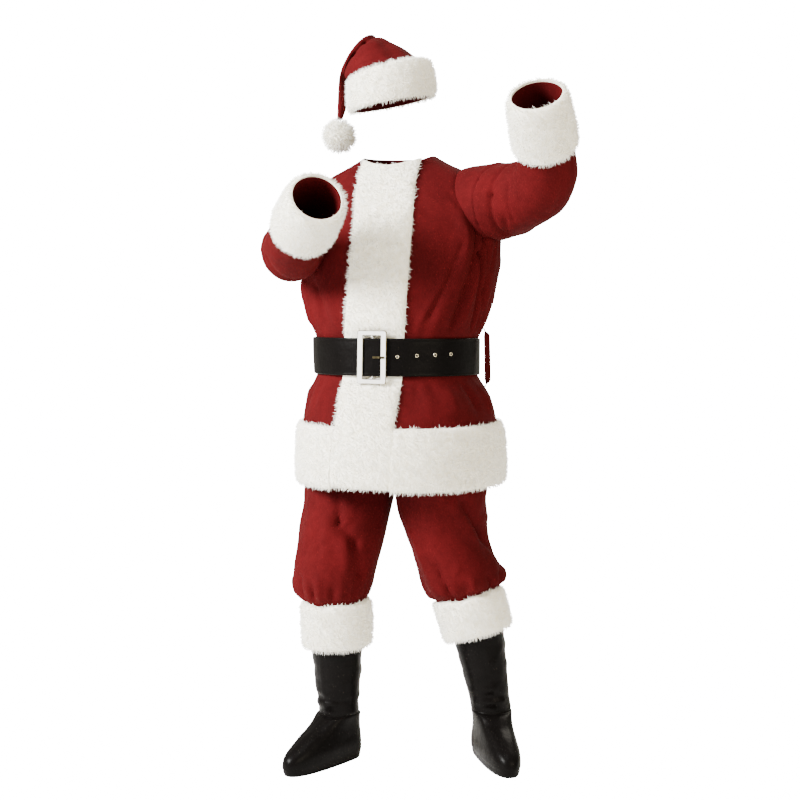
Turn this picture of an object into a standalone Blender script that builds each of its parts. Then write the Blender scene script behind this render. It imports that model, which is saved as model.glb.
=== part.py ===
"""A worn santa suit: coat, trousers, hat, belt and boot tops, hollow, in the pose of a general figure.

The coat's front faces -Y and its wearer's left is +X. Heights in the tables are above the floor, in metres.
The origin is the centre of the coat's neck opening, where the suit is held up.
"""

import math
from collections import namedtuple

import bmesh
import bpy
from mathutils import Vector

# Driving sizes, in metres
NECK_HEIGHT = 1.468
SEAM_GAP = 0.0003
CLOTH = 0.0025
VINYL = 0.0018
FUR = 0.017
FUR_EDGE = 0.004
FUR_GAP = 0.0006
CRUSHED_FUR = 0.0045
PLACKET_GAP = 0.0011
HEM_GAP = 0.0015
HAT_BAND_GAP = 0.0018
PLACKET_HALF_WIDTH = 0.074
HEM_FUR_TOP = 0.822
BELT_BOTTOM = 0.938
BELT_TOP = 1.027
BELT_MIDDLE = (BELT_BOTTOM + BELT_TOP) / 2
BELT_THICKNESS = 0.003
TAIL_END = -62
STRAP_START = 357.0
LAP_END = 14
BUCKLE_MIDDLE = 0.004
BUCKLE_SIZE = (0.0725, 0.1245)
BUCKLE_OPENING = (0.0445, 0.1020)
BUCKLE_THICKNESS = 0.0042
LOOP_WIDTH = 0.015
LOOP_TURN = 66
# Where each eyelet sits: its angle round the belt and its share of the belt's width
EYELETS = ((18.6, 0.52), (31.0, 0.55), (43.5, 0.57), (55.5, 0.59))
# The share of a fur band's width where its section changes
BAND_STEPS = (0.0, 0.09, 0.5, 0.91, 1.0)

for old in list(bpy.data.objects):
    bpy.data.objects.remove(old)
suit = bpy.data.collections.new("santa_suit")
cutters = bpy.data.collections.new("cutters")
for group in (suit, cutters):
    bpy.context.scene.collection.children.link(group)


# Tables

Ring = namedtuple("Ring", "height x half_width front back front_drop")
COAT_RINGS = [
    Ring(0.680, 0.005, 0.243, 0.238, 0.206, 0.000),
    Ring(0.750, 0.005, 0.243, 0.238, 0.206, 0.000),
    Ring(0.822, 0.002, 0.238, 0.228, 0.195, 0.000),
    Ring(0.885, -0.001, 0.226, 0.208, 0.178, 0.000),
    Ring(0.930, -0.005, 0.200, 0.192, 0.161, 0.000),
    Ring(0.983, -0.007, 0.184, 0.184, 0.152, 0.000),
    Ring(1.034, -0.004, 0.203, 0.186, 0.154, 0.000),
    Ring(1.075, -0.005, 0.223, 0.186, 0.158, 0.000),
    Ring(1.135, -0.003, 0.239, 0.176, 0.158, 0.000),
    Ring(1.200, 0.002, 0.247, 0.164, 0.154, 0.000),
    Ring(1.262, 0.006, 0.247, 0.152, 0.148, 0.000),
    Ring(1.325, 0.003, 0.228, 0.138, 0.138, 0.004),
    Ring(1.378, 0.000, 0.208, 0.121, 0.122, 0.009),
    Ring(1.412, 0.000, 0.184, 0.105, 0.108, 0.014),
    Ring(1.434, 0.000, 0.152, 0.094, 0.097, 0.019),
    Ring(1.452, 0.000, 0.118, 0.085, 0.088, 0.025),
    Ring(1.468, 0.000, 0.090, 0.078, 0.080, 0.030),
]

# A fold runs from one (angle, height) to another; width is its half width and depth is outwards if positive
Fold = namedtuple("Fold", "angle_a along_a angle_b along_b width depth")
COAT_FOLDS = [
    Fold(50, 1.330, 38, 1.060, 0.020, 0.008),
    Fold(58, 1.345, 48, 1.060, 0.013, -0.013),
    Fold(61, 1.290, 55, 1.055, 0.012, 0.007),
    Fold(67, 1.300, 68, 1.050, 0.013, -0.018),
    Fold(78, 1.240, 78, 1.050, 0.013, 0.004),
    Fold(87, 1.240, 87, 1.050, 0.012, -0.009),
    Fold(103, 1.210, 100, 1.055, 0.016, 0.006),
    Fold(120, 1.250, 116, 1.060, 0.018, -0.010),
    Fold(146, 1.260, 142, 1.060, 0.022, 0.009),
    Fold(180, 1.280, 178, 1.070, 0.024, -0.009),
    Fold(214, 1.260, 217, 1.060, 0.022, 0.009),
    Fold(238, 1.230, 240, 1.060, 0.018, -0.010),
    Fold(262, 1.190, 265, 1.055, 0.016, 0.010),
    Fold(283, 1.170, 290, 1.055, 0.014, -0.012),
    Fold(300, 1.160, 309, 1.060, 0.015, 0.010),
    Fold(318, 1.150, 326, 1.065, 0.014, -0.009),
    Fold(330, 1.120, 336, 1.060, 0.012, 0.005),
    Fold(28, 0.905, 27, 0.872, 0.020, -0.004),
    Fold(50, 0.915, 52, 0.868, 0.020, 0.007),
    Fold(66, 0.915, 71, 0.868, 0.014, -0.010),
    Fold(84, 0.915, 88, 0.868, 0.018, 0.008),
    Fold(112, 0.910, 114, 0.868, 0.022, -0.008),
    Fold(150, 0.910, 150, 0.868, 0.026, 0.007),
    Fold(185, 0.910, 184, 0.868, 0.024, -0.008),
    Fold(222, 0.910, 221, 0.868, 0.026, 0.007),
    Fold(256, 0.910, 254, 0.868, 0.020, -0.008),
    Fold(282, 0.915, 279, 0.868, 0.020, 0.008),
    Fold(306, 0.915, 304, 0.868, 0.016, -0.008),
    Fold(326, 0.905, 325, 0.872, 0.018, 0.005),
]

# Sleeve rings follow the arm from inside the armhole to the wrist;
# tall is across the arm upwards, wide is across it sideways
ArmRing = namedtuple("ArmRing", "x y height tall wide")
LEFT_ARM = [
    ArmRing(0.105, 0.010, 1.334, 0.066, 0.064),
    ArmRing(0.175, 0.002, 1.343, 0.092, 0.086),
    ArmRing(0.250, -0.022, 1.352, 0.092, 0.088),
    ArmRing(0.318, -0.064, 1.362, 0.083, 0.082),
    ArmRing(0.376, -0.106, 1.378, 0.074, 0.074),
    ArmRing(0.408, -0.146, 1.410, 0.067, 0.069),
    ArmRing(0.416, -0.190, 1.460, 0.062, 0.064),
    ArmRing(0.418, -0.240, 1.514, 0.058, 0.060),
    ArmRing(0.420, -0.288, 1.568, 0.054, 0.056),
]
RIGHT_ARM = [
    ArmRing(-0.105, 0.010, 1.345, 0.066, 0.064),
    ArmRing(-0.170, -0.002, 1.338, 0.086, 0.084),
    ArmRing(-0.206, -0.058, 1.300, 0.081, 0.078),
    ArmRing(-0.218, -0.126, 1.256, 0.078, 0.076),
    ArmRing(-0.206, -0.192, 1.236, 0.074, 0.073),
    ArmRing(-0.176, -0.242, 1.250, 0.068, 0.069),
    ArmRing(-0.140, -0.286, 1.279, 0.064, 0.065),
    ArmRing(-0.098, -0.336, 1.315, 0.060, 0.061),
    ArmRing(-0.056, -0.384, 1.350, 0.056, 0.057),
]
CUFF_START = 6.05
CUFF_END = 8.0
LEFT_SLEEVE_FOLDS = [
    Fold(5, 2.05, 88, 1.60, 0.012, -0.007),
    Fold(88, 1.60, 165, 1.60, 0.012, -0.007),
    Fold(25, 2.60, 165, 2.15, 0.012, -0.010),
    Fold(-30, 1.9, -150, 1.9, 0.016, -0.008),
    Fold(-20, 3.1, -160, 2.7, 0.016, 0.006),
    Fold(60, 3.20, 165, 2.60, 0.014, 0.004),
    Fold(70, 3.60, 150, 2.90, 0.012, -0.005),
    Fold(62, 4.50, 120, 3.80, 0.012, -0.005),
]
RIGHT_SLEEVE_FOLDS = [
    Fold(20, 1.70, 160, 1.60, 0.014, -0.010),
    Fold(-20, 2.2, -160, 2.0, 0.016, -0.010),
    Fold(-30, 3.0, -140, 2.8, 0.014, 0.007),
    Fold(60, 4.10, 150, 3.60, 0.010, -0.007),
    Fold(75, 4.70, 160, 4.10, 0.010, -0.008),
    Fold(95, 3.30, 175, 3.10, 0.012, 0.008),
]

# Trouser rings run from the cuff up; open is 1 where the halves meet on the rise seam and 0 on a closed leg
LegRing = namedtuple("LegRing", "height tilt open x y half_x half_y half_width front back")
HIP_RINGS = [
    LegRing(0.655, 0.00, 0.0, 0.1140, -0.020, 0.1122, 0.1240, 0.196, 0.158, 0.135),
    LegRing(0.700, 0.00, 0.0, 0.1130, -0.022, 0.1122, 0.1280, 0.200, 0.162, 0.140),
    LegRing(0.735, 0.00, 0.26, 0.1130, -0.020, 0.1122, 0.1320, 0.201, 0.164, 0.142),
    LegRing(0.785, 0.00, 0.70, 0.1130, -0.016, 0.1122, 0.1340, 0.200, 0.164, 0.142),
    LegRing(0.845, 0.00, 1.0, 0.1130, -0.012, 0.1122, 0.1340, 0.196, 0.162, 0.140),
    LegRing(0.915, 0.00, 1.0, 0.1130, -0.010, 0.1122, 0.1300, 0.184, 0.155, 0.130),
    LegRing(0.970, 0.00, 1.0, 0.1130, -0.008, 0.1122, 0.1200, 0.1744, 0.148, 0.123),
]
LEFT_LEG = [
    LegRing(0.304, 0.30, 0.0, 0.2010, 0.009, 0.0690, 0.0700, 0.190, 0.150, 0.125),
    LegRing(0.355, 0.29, 0.0, 0.1890, 0.004, 0.0700, 0.0710, 0.190, 0.150, 0.125),
    LegRing(0.400, 0.27, 0.0, 0.1765, 0.000, 0.0740, 0.0750, 0.190, 0.150, 0.125),
    LegRing(0.413, 0.24, 0.0, 0.1720, -0.001, 0.0920, 0.0930, 0.190, 0.150, 0.125),
    LegRing(0.438, 0.18, 0.0, 0.1640, -0.002, 0.1010, 0.1040, 0.190, 0.150, 0.125),
    LegRing(0.475, 0.10, 0.0, 0.1530, -0.005, 0.0990, 0.1060, 0.190, 0.150, 0.125),
    LegRing(0.535, 0.03, 0.0, 0.1320, -0.011, 0.0975, 0.1090, 0.190, 0.150, 0.125),
    LegRing(0.600, 0.00, 0.0, 0.1170, -0.016, 0.1080, 0.1180, 0.190, 0.150, 0.125),
] + HIP_RINGS
RIGHT_LEG = [
    LegRing(0.281, -0.04, 0.0, 0.1150, -0.132, 0.0700, 0.0710, 0.190, 0.150, 0.125),
    LegRing(0.340, -0.05, 0.0, 0.1160, -0.130, 0.0710, 0.0720, 0.190, 0.150, 0.125),
    LegRing(0.390, -0.05, 0.0, 0.1190, -0.128, 0.0740, 0.0750, 0.190, 0.150, 0.125),
    LegRing(0.404, -0.05, 0.0, 0.1240, -0.125, 0.0870, 0.0900, 0.190, 0.150, 0.125),
    LegRing(0.430, -0.04, 0.0, 0.1270, -0.119, 0.0970, 0.1020, 0.190, 0.150, 0.125),
    LegRing(0.468, -0.02, 0.0, 0.1270, -0.111, 0.1010, 0.1080, 0.190, 0.150, 0.125),
    LegRing(0.530, 0.00, 0.0, 0.1210, -0.093, 0.1060, 0.1130, 0.190, 0.150, 0.125),
    LegRing(0.600, 0.00, 0.0, 0.1160, -0.066, 0.1085, 0.1190, 0.190, 0.150, 0.125),
    LegRing(0.655, 0.00, 0.0, 0.1140, -0.040, 0.1122, 0.1240, 0.196, 0.158, 0.135),
] + HIP_RINGS[1:]
LEG_CUFF_TOP = 2.0
# On a leg the angle runs from the inseam (0) round the front (90) to the outer side (180)
LEG_GATHERS = [
    Fold(12, 0.430, 14, 0.392, 0.011, -0.009),
    Fold(196, 0.445, 192, 0.392, 0.013, 0.006),
    Fold(212, 0.450, 208, 0.392, 0.012, -0.011),
    Fold(232, 0.440, 230, 0.392, 0.012, 0.007),
    Fold(252, 0.455, 250, 0.392, 0.012, -0.011),
    Fold(288, 0.450, 284, 0.392, 0.013, -0.010),
    Fold(318, 0.445, 322, 0.392, 0.012, 0.006),
    Fold(340, 0.440, 342, 0.392, 0.011, -0.010),
    Fold(225, 0.660, 215, 0.500, 0.022, -0.008),
    Fold(290, 0.650, 280, 0.500, 0.022, 0.007),
    Fold(330, 0.640, 320, 0.500, 0.018, -0.007),
]
LEFT_LEG_FOLDS = LEG_GATHERS + [
    Fold(138, 0.640, 165, 0.555, 0.013, -0.011),
    Fold(165, 0.555, 198, 0.480, 0.012, -0.010),
    Fold(124, 0.640, 152, 0.550, 0.016, 0.007),
    Fold(78, 0.485, 88, 0.395, 0.012, -0.010),
    Fold(50, 0.560, 66, 0.430, 0.014, 0.006),
    Fold(40, 0.450, 48, 0.392, 0.011, -0.010),
    Fold(108, 0.425, 106, 0.392, 0.011, -0.011),
    Fold(122, 0.440, 120, 0.392, 0.011, 0.006),
    Fold(150, 0.440, 154, 0.392, 0.012, -0.013),
    Fold(176, 0.440, 176, 0.392, 0.011, -0.010),
]
RIGHT_LEG_FOLDS = LEG_GATHERS + [
    Fold(84, 0.640, 74, 0.585, 0.012, -0.009),
    Fold(74, 0.585, 49, 0.540, 0.012, -0.012),
    Fold(49, 0.540, 31, 0.465, 0.012, -0.013),
    Fold(31, 0.465, 38, 0.395, 0.012, -0.009),
    Fold(62, 0.530, 50, 0.470, 0.016, 0.008),
    Fold(70, 0.425, 70, 0.392, 0.011, -0.011),
    Fold(90, 0.450, 86, 0.392, 0.012, 0.006),
    Fold(102, 0.430, 101, 0.392, 0.011, -0.011),
    Fold(126, 0.450, 126, 0.392, 0.012, -0.012),
    Fold(150, 0.440, 152, 0.392, 0.012, 0.006),
    Fold(170, 0.440, 174, 0.392, 0.012, -0.010),
    Fold(140, 0.640, 148, 0.520, 0.020, -0.006),
]

# Hat rings fan round the crease of the fold-over.
# Each spans from its inner to its outer end, deep is half its depth
HatRing = namedtuple("HatRing", "in_x in_height out_x out_height y deep")
HAT_RINGS = [
    HatRing(-0.111, 1.580, 0.075, 1.614, -0.010, 0.103),
    HatRing(-0.111, 1.618, 0.073, 1.660, -0.009, 0.102),
    HatRing(-0.116, 1.650, 0.062, 1.694, -0.008, 0.096),
    HatRing(-0.133, 1.662, 0.035, 1.713, -0.005, 0.087),
    HatRing(-0.1385, 1.6655, 0.008, 1.733, -0.002, 0.078),
    HatRing(-0.1405, 1.6675, -0.020, 1.748, 0.001, 0.069),
    HatRing(-0.1420, 1.6690, -0.050, 1.765, 0.004, 0.061),
    HatRing(-0.1435, 1.6695, -0.078, 1.771, 0.007, 0.054),
    HatRing(-0.1450, 1.6695, -0.104, 1.754, 0.010, 0.047),
    HatRing(-0.1465, 1.6685, -0.128, 1.727, 0.012, 0.040),
    HatRing(-0.1480, 1.6660, -0.147, 1.700, 0.014, 0.034),
    HatRing(-0.1490, 1.6580, -0.160, 1.670, 0.016, 0.029),
    HatRing(-0.1490, 1.6300, -0.167, 1.633, 0.017, 0.023),
    HatRing(-0.1500, 1.6000, -0.171, 1.600, 0.018, 0.016),
    HatRing(-0.1600, 1.5680, -0.174, 1.5680, 0.018, 0.007),
]
HAT_LEAN = 0.10
HAT_FOLDS = [
    Fold(40, 3.2, 20, 5.6, 0.9, -0.007),
    Fold(-50, 2.6, -25, 5.4, 0.9, -0.006),
    Fold(75, 2.4, 60, 4.2, 0.8, 0.005),
    Fold(140, 2.2, 120, 4.4, 0.8, -0.006),
    Fold(-120, 2.2, -105, 4.6, 0.8, -0.005),
]
HAT_BAND_TOP = 2.25
POMPOM = (-0.1690, 0.018, 1.5276)
POMPOM_RADIUS = 0.036
POMPOM_LOCK = 0.011

ShaftRing = namedtuple("ShaftRing", "x y height radius")
LEFT_SHAFT = [
    ShaftRing(0.231, 0.020, 0.1185, 0.0500),
    ShaftRing(0.226, 0.018, 0.150, 0.0500),
    ShaftRing(0.217, 0.015, 0.205, 0.0555),
    ShaftRing(0.207, 0.012, 0.260, 0.0600),
    ShaftRing(0.1950, 0.006, 0.330, 0.0655),
]
RIGHT_SHAFT = [
    ShaftRing(-0.111, -0.131, 0.1185, 0.0500),
    ShaftRing(-0.112, -0.131, 0.150, 0.0500),
    ShaftRing(-0.114, -0.132, 0.205, 0.0560),
    ShaftRing(-0.115, -0.132, 0.260, 0.0610),
    ShaftRing(-0.1155, -0.1308, 0.312, 0.0665),
]
# Foot rings run from the sole edge up to the ankle;
# heel and toe are measured from the ankle's axis along the foot
FootRing = namedtuple("FootRing", "height heel toe half_width")
FOOT_RINGS = [
    FootRing(0.004, 0.053, 0.176, 0.043),
    FootRing(0.022, 0.057, 0.182, 0.047),
    FootRing(0.045, 0.057, 0.175, 0.0475),
    FootRing(0.066, 0.056, 0.149, 0.045),
    FootRing(0.086, 0.054, 0.111, 0.044),
    FootRing(0.104, 0.052, 0.076, 0.046),
    FootRing(0.1172, 0.0505, 0.0530, 0.0500),
]
LEFT_TOE_OUT = 29
RIGHT_TOE_OUT = -18.5


# Smooth reading of a table

def row_at(rows, place):
    """The table's row at a place between its rows, from a smooth curve through each column."""
    place = min(max(place, 0.0), len(rows) - 1.0)
    i = min(int(place), len(rows) - 2)
    t = place - i
    before, here, after, beyond = (rows[min(max(k, 0), len(rows) - 1)] for k in (i - 1, i, i + 1, i + 2))
    values = []
    for a, b, c, d in zip(before, here, after, beyond):
        values.append(b + 0.5 * t * (c - a + t * (2 * a - 5 * b + 4 * c - d + t * (3 * (b - c) + d - a))))
    return rows[0]._make(values)


def place_at_height(rows, height):
    """The place in the table where the smooth curve reaches that height."""
    low, high = 0.0, len(rows) - 1.0
    for _ in range(40):
        middle = (low + high) / 2
        if row_at(rows, middle).height < height:
            low = middle
        else:
            high = middle
    return (low + high) / 2


def spaced(start, end, count):
    return [start + (end - start) * k / count for k in range(count + 1)]


def fold_depth(folds, angle, along, radius, length_per_unit):
    """Sum of the folds at a point, each a soft groove or ridge round its line."""
    total = 0.0
    for fold in folds:
        turn = (angle - fold.angle_a + 180) % 360 - 180
        reach = (fold.angle_b - fold.angle_a + 180) % 360 - 180
        metres = math.radians(radius)
        px, py = turn * metres, (along - fold.along_a) * length_per_unit
        dx, dy = reach * metres, (fold.along_b - fold.along_a) * length_per_unit
        share = min(max((px * dx + py * dy) / (dx * dx + dy * dy), 0.0), 1.0)
        distance = math.hypot(px - share * dx, py - share * dy)
        total += fold.depth * math.exp(-((distance / fold.width) ** 2))
    return total


# Surfaces: each has a point at (u, v) and the outward direction there

class Surface:
    """A smooth surface of outer points; moved() steps off it along its outward direction."""

    def __init__(self, point, outward=1):
        self.point = point
        self.outward = outward

    def moved(self, u, v, distance):
        step = 0.02
        along_u = self.point(u + step, v) - self.point(u - step, v)
        along_v = self.point(u, v + step) - self.point(u, v - step)
        return self.point(u, v) + along_u.cross(along_v).normalized() * distance * self.outward


class OnRows(Surface):
    """The same surface, straight between the rows of the panel that lies below."""

    def __init__(self, surface, rows):
        self.surface = surface
        self.rows = rows

    def moved(self, u, v, distance):
        below = [row for row in self.rows if row <= v]
        above = [row for row in self.rows if row > v]
        if not below or not above:
            return self.surface.moved(u, v, distance)
        low, high = below[-1], above[0]
        start, end = (self.surface.moved(u, row, distance) for row in (low, high))
        return start.lerp(end, (v - low) / (high - low))


def beyond(rows, v):
    """A row at v, carried straight on past either end of the table."""
    last = len(rows) - 1.0
    if 0 <= v <= last:
        return row_at(rows, v)
    edge, inside = (0.0, 0.1) if v < 0 else (last, last - 0.1)
    a, b = row_at(rows, inside), row_at(rows, edge)
    share = abs(v - edge) / 0.1
    return rows[0]._make(q + (q - p) * share for p, q in zip(a, b))


def coat_point_on(ring, degrees, swell=0.0):
    angle = math.radians(degrees)
    depth = ring.front if math.cos(angle) > 0 else ring.back
    round_out = 1 + 0.035 * math.sin(2 * angle) ** 2
    x = ring.x + (ring.half_width * round_out + swell) * math.sin(angle)
    y = -(depth * round_out + swell) * math.cos(angle)
    return Vector((x, y, ring.height - ring.front_drop * max(0.0, math.cos(angle)) ** 2 - NECK_HEIGHT))


def belt_hold(height):
    """How much of a fold is left at a height, because the belt presses the cloth flat."""
    middle, reach = (BELT_BOTTOM + BELT_TOP) / 2, 0.076
    return 1 - math.exp(-((height - middle) / reach) ** 8)


def coat_point(u, v):
    ring = beyond(COAT_RINGS, v)
    swell = fold_depth(COAT_FOLDS, u, ring.height, 0.22, 1.0) * belt_hold(ring.height)
    return coat_point_on(ring, u, swell)


coat = Surface(coat_point)


def tube_surface(rows, folds, first_up, seam=0.0):
    """A bent tube round a smooth path, with its rings carried along without twist."""
    count = (len(rows) - 1) * 20
    path = [row_at(rows, k / 20) for k in range(count + 1)]
    centres = [Vector((r.x, r.y, r.height - NECK_HEIGHT)) for r in path]
    ups = []
    up = first_up
    for k in range(count + 1):
        ahead = (centres[min(k + 1, count)] - centres[max(k - 1, 0)]).normalized()
        up = (up - ahead * up.dot(ahead)).normalized()
        ups.append(up)
    length = sum((b - a).length for a, b in zip(centres, centres[1:])) / (len(rows) - 1)

    def point(u, v):
        inside = min(max(v, 0.0), len(rows) - 1.0)
        k = min(int(inside * 20), count - 1)
        t = inside * 20 - k
        ahead = (centres[min(k + 2, count)] - centres[max(k - 1, 0)]).normalized()
        centre = centres[k].lerp(centres[k + 1], t) + ahead * (v - inside) * length
        up_here = ups[k].lerp(ups[k + 1], t)
        up_here = (up_here - ahead * up_here.dot(ahead)).normalized()
        side = ahead.cross(up_here)
        row = row_at(rows, inside)
        angle = math.radians(u + seam)
        swell = fold_depth(folds, u, v, (row[3] + row[4]) / 2, length)
        upwards = up_here * (row[3] + swell) * math.cos(angle)
        return centre + upwards + side * (row[4] + swell) * math.sin(angle)

    return Surface(point)


def leg_surface(rows, folds, side):
    """One half of the trousers. u runs from the inseam round the front to the side, and on round the back."""

    def point(u, v):
        row = beyond(rows, v)
        angle = math.radians(u)
        half = angle / 2
        free = (1 - row.open) * min(1.0, max(0.0, row.height - 0.395) / 0.02) * abs(math.sin(half)) ** 0.5
        swell = fold_depth(folds, u, row.height, 0.105, 1.0) * free
        leg_x = row.x - (row.half_x + swell) * math.cos(angle)
        leg_y = row.y - (row.half_y + swell) * math.sin(angle)
        depth = row.front if math.cos(half) > 0 else row.back
        hip_x = row.half_width * math.sin(half)
        hip_y = -depth * math.cos(half)
        x = leg_x * (1 - row.open) + hip_x * row.open
        y = leg_y * (1 - row.open) + hip_y * row.open
        return Vector((side * x, y, row.height + row.tilt * (x - row.x) - NECK_HEIGHT))

    return Surface(point, outward=side)


def hat_point(u, v):
    """u is 0 on the outer side of the fold-over, 90 at the back and 180 on its inner side."""
    row = beyond(HAT_RINGS, v)
    angle = math.radians(u)
    half = Vector((row.out_x - row.in_x, 0, row.out_height - row.in_height)) / 2
    centre = Vector((row.in_x, 0, row.in_height - NECK_HEIGHT)) + half
    swell = hat_fold(u, v) * min(1.0, max(0.0, v - 2.2))
    shape = 1 + swell / half.length
    y = (row.deep + swell) * math.sin(angle)
    lean = HAT_LEAN * max(0.0, 1 - v / 5)
    return centre + half * shape * math.cos(angle) + Vector((0, row.y + y, lean * y))


def hat_fold(u, v):
    total = 0.0
    for fold in HAT_FOLDS:
        share = min(max((v - fold.along_a) / (fold.along_b - fold.along_a), 0.0), 1.0)
        turn = (u - fold.angle_a - (fold.angle_b - fold.angle_a) * share + 180) % 360 - 180
        ends = max(fold.along_a - v, v - fold.along_b, 0.0)
        total += fold.depth * math.exp(-((turn / 16) ** 2) - (ends / fold.width) ** 2)
    return total


def foot_surface(ankle, toe_out):
    turn = math.radians(toe_out)
    ahead = Vector((math.sin(turn), -math.cos(turn), 0))
    side = Vector((math.cos(turn), math.sin(turn), 0))

    def point(u, v):
        row = beyond(FOOT_RINGS, v)
        angle = math.radians(u)
        reach = row.toe if math.cos(angle) > 0 else row.heel
        blunt = 0.82
        along = reach * math.copysign(abs(math.cos(angle)) ** blunt, math.cos(angle))
        across = row.half_width * math.copysign(abs(math.sin(angle)) ** blunt, math.sin(angle))
        return Vector((ankle.x, ankle.y, row.height - NECK_HEIGHT)) + ahead * along + side * across

    return Surface(point)


# Solids

def material(name, colour, roughness, metallic=0.0):
    made = bpy.data.materials.new(name)
    made.use_nodes = True
    shader = made.node_tree.nodes["Principled BSDF"]
    shader.inputs["Base Color"].default_value = (*colour, 1.0)
    shader.inputs["Roughness"].default_value = roughness
    shader.inputs["Metallic"].default_value = metallic
    return made


RED_CLOTH = material("red_velour", (0.36, 0.018, 0.016), 0.8)
WHITE_FUR = material("white_fur", (0.86, 0.85, 0.78), 0.95)
BLACK_VINYL = material("black_vinyl", (0.012, 0.011, 0.010), 0.32)
BUCKLE_METAL = material("buckle_metal", (0.86, 0.84, 0.78), 0.18, 1.0)


def finish(mesh, name, surface_material, collection=suit):
    if mesh.calc_volume(signed=True) < 0:
        bmesh.ops.reverse_faces(mesh, faces=mesh.faces)
    data = bpy.data.meshes.new(name)
    mesh.to_mesh(data)
    mesh.free()
    data.shade_smooth()
    made = bpy.data.objects.new(name, data)
    if surface_material:
        data.materials.append(surface_material)
    collection.objects.link(made)
    return made


def wall(name, surface, us, vs, inner, outer, surface_material, closed=False):
    """A closed wall between two distances off a surface, each a number or a function of u and v."""
    mesh = bmesh.new()
    distance = [(lambda u, v, d=d: d(u, v) if callable(d) else d) for d in (outer, inner)]
    skins = [
        [[mesh.verts.new(surface.moved(u, v, far(u, v))) for u in us] for v in vs]
        for far in distance
    ]
    across = len(us) if closed else len(us) - 1
    top, bottom = len(vs) - 1, 0
    for j in range(across):
        k = (j + 1) % len(us)
        for i in range(len(vs) - 1):
            mesh.faces.new((skins[0][i][j], skins[0][i][k], skins[0][i + 1][k], skins[0][i + 1][j]))
            mesh.faces.new((skins[1][i][j], skins[1][i + 1][j], skins[1][i + 1][k], skins[1][i][k]))
        mesh.faces.new((skins[0][top][j], skins[0][top][k], skins[1][top][k], skins[1][top][j]))
        mesh.faces.new((skins[0][bottom][k], skins[0][bottom][j], skins[1][bottom][j], skins[1][bottom][k]))
    if not closed:
        for j, order in ((0, 1), (len(us) - 1, -1)):
            for i in range(len(vs) - 1):
                # both sides of a seam are split along the same diagonal, so that they stay apart
                mesh.faces.new((skins[0][i][j], skins[0][i + 1][j], skins[1][i + 1][j])[::order])
                mesh.faces.new((skins[0][i][j], skins[1][i + 1][j], skins[1][i][j])[::order])
    return finish(mesh, name, surface_material)


def filled(name, surface, us, vs, distance):
    """A closed cutter that fills a tube, with a fan at each end."""
    mesh = bmesh.new()
    rings = [[mesh.verts.new(surface.moved(u, v, distance)) for u in us] for v in vs]
    for i in range(len(vs) - 1):
        for j in range(len(us)):
            k = (j + 1) % len(us)
            mesh.faces.new((rings[i][j], rings[i][k], rings[i + 1][k], rings[i + 1][j]))
    for ring in (rings[0][::-1], rings[-1]):
        middle = mesh.verts.new(sum((p.co for p in ring), Vector()) / len(ring))
        for j in range(len(ring)):
            mesh.faces.new((ring[j], ring[(j + 1) % len(ring)], middle))
    made = finish(mesh, name, None, cutters)
    made.hide_render = True
    made.display_type = "WIRE"
    return made


def cut(target, cutter):
    trim = target.modifiers.new("cut_" + cutter.name, "BOOLEAN")
    trim.operation = "DIFFERENCE"
    trim.object = cutter


def pile(low, high, thick=FUR, edge=FUR_EDGE):
    """Fur thickness across a band: full in the middle, rounded down to its edge at both sides."""

    def distance(place):
        share = min(max((place - low) / (high - low), 0.0), 1.0)
        return edge + (thick - edge) * (1 - abs(2 * share - 1) ** 5) ** 0.5

    return distance


def band_places(low, high):
    return [low + (high - low) * share for share in BAND_STEPS]


# Coat

COAT_ROWS = [0, 1, 2, 3, 4, 5, 6, 6.8, 7.7, 8.7, 9.7, 10.7, 11.7, 12.5, 13.4, 14.5, 16]
HALF_SEAM = 0.04
COAT_PANELS = {
    "coat_front_left": spaced(HALF_SEAM, 90 - HALF_SEAM, 14),
    "coat_back": spaced(90 + HALF_SEAM, 270 - HALF_SEAM, 22),
    "coat_front_right": spaced(270 + HALF_SEAM, 360 - HALF_SEAM, 14),
}


def make_coat():
    arms = {"left": (LEFT_ARM, LEFT_SLEEVE_FOLDS), "right": (RIGHT_ARM, RIGHT_SLEEVE_FOLDS)}
    sleeves = {side: tube_surface(rows, folds, Vector((0, 0, 1))) for side, (rows, folds) in arms.items()}
    around = spaced(0, 360, 20)[:-1]
    along = [0, 0.6, 1.1, 1.55, 2.0, 2.45, 2.9, 3.4, 3.9, 4.4, 4.9]
    along += [CUFF_START - 0.3, CUFF_START + 0.1, CUFF_END - 0.12]
    arm_cutters = [
        filled("armhole_" + side, sleeve, around, along[:10], SEAM_GAP) for side, sleeve in sleeves.items()
    ]
    for name, turns in COAT_PANELS.items():
        panel = wall(name, coat, turns, COAT_ROWS, -CLOTH, 0.0, RED_CLOTH)
        for cutter in arm_cutters:
            cut(panel, cutter)
    body_turns = [u for turns in COAT_PANELS.values() for u in turns]
    body = filled("coat_body", coat, body_turns, COAT_ROWS[7:], SEAM_GAP)
    for side, sleeve in sleeves.items():
        made = wall("coat_sleeve_" + side, sleeve, around, along, -CLOTH, 0.0, RED_CLOTH, closed=True)
        cut(made, body)
        fur = pile(CUFF_START, CUFF_END)
        wall(
            "coat_cuff_fur_" + side, OnRows(sleeve, along), around, band_places(CUFF_START, CUFF_END),
            FUR_GAP, lambda u, v, fur=fur: fur(v), WHITE_FUR, closed=True,
        )


def angle_at(x, ring):
    """The angle on the coat's front where a ring is that far from the middle."""
    low, high = -80.0, 80.0
    for _ in range(40):
        middle = (low + high) / 2
        if coat_point_on(ring, middle).x < x:
            low = middle
        else:
            high = middle
    return low


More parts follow.
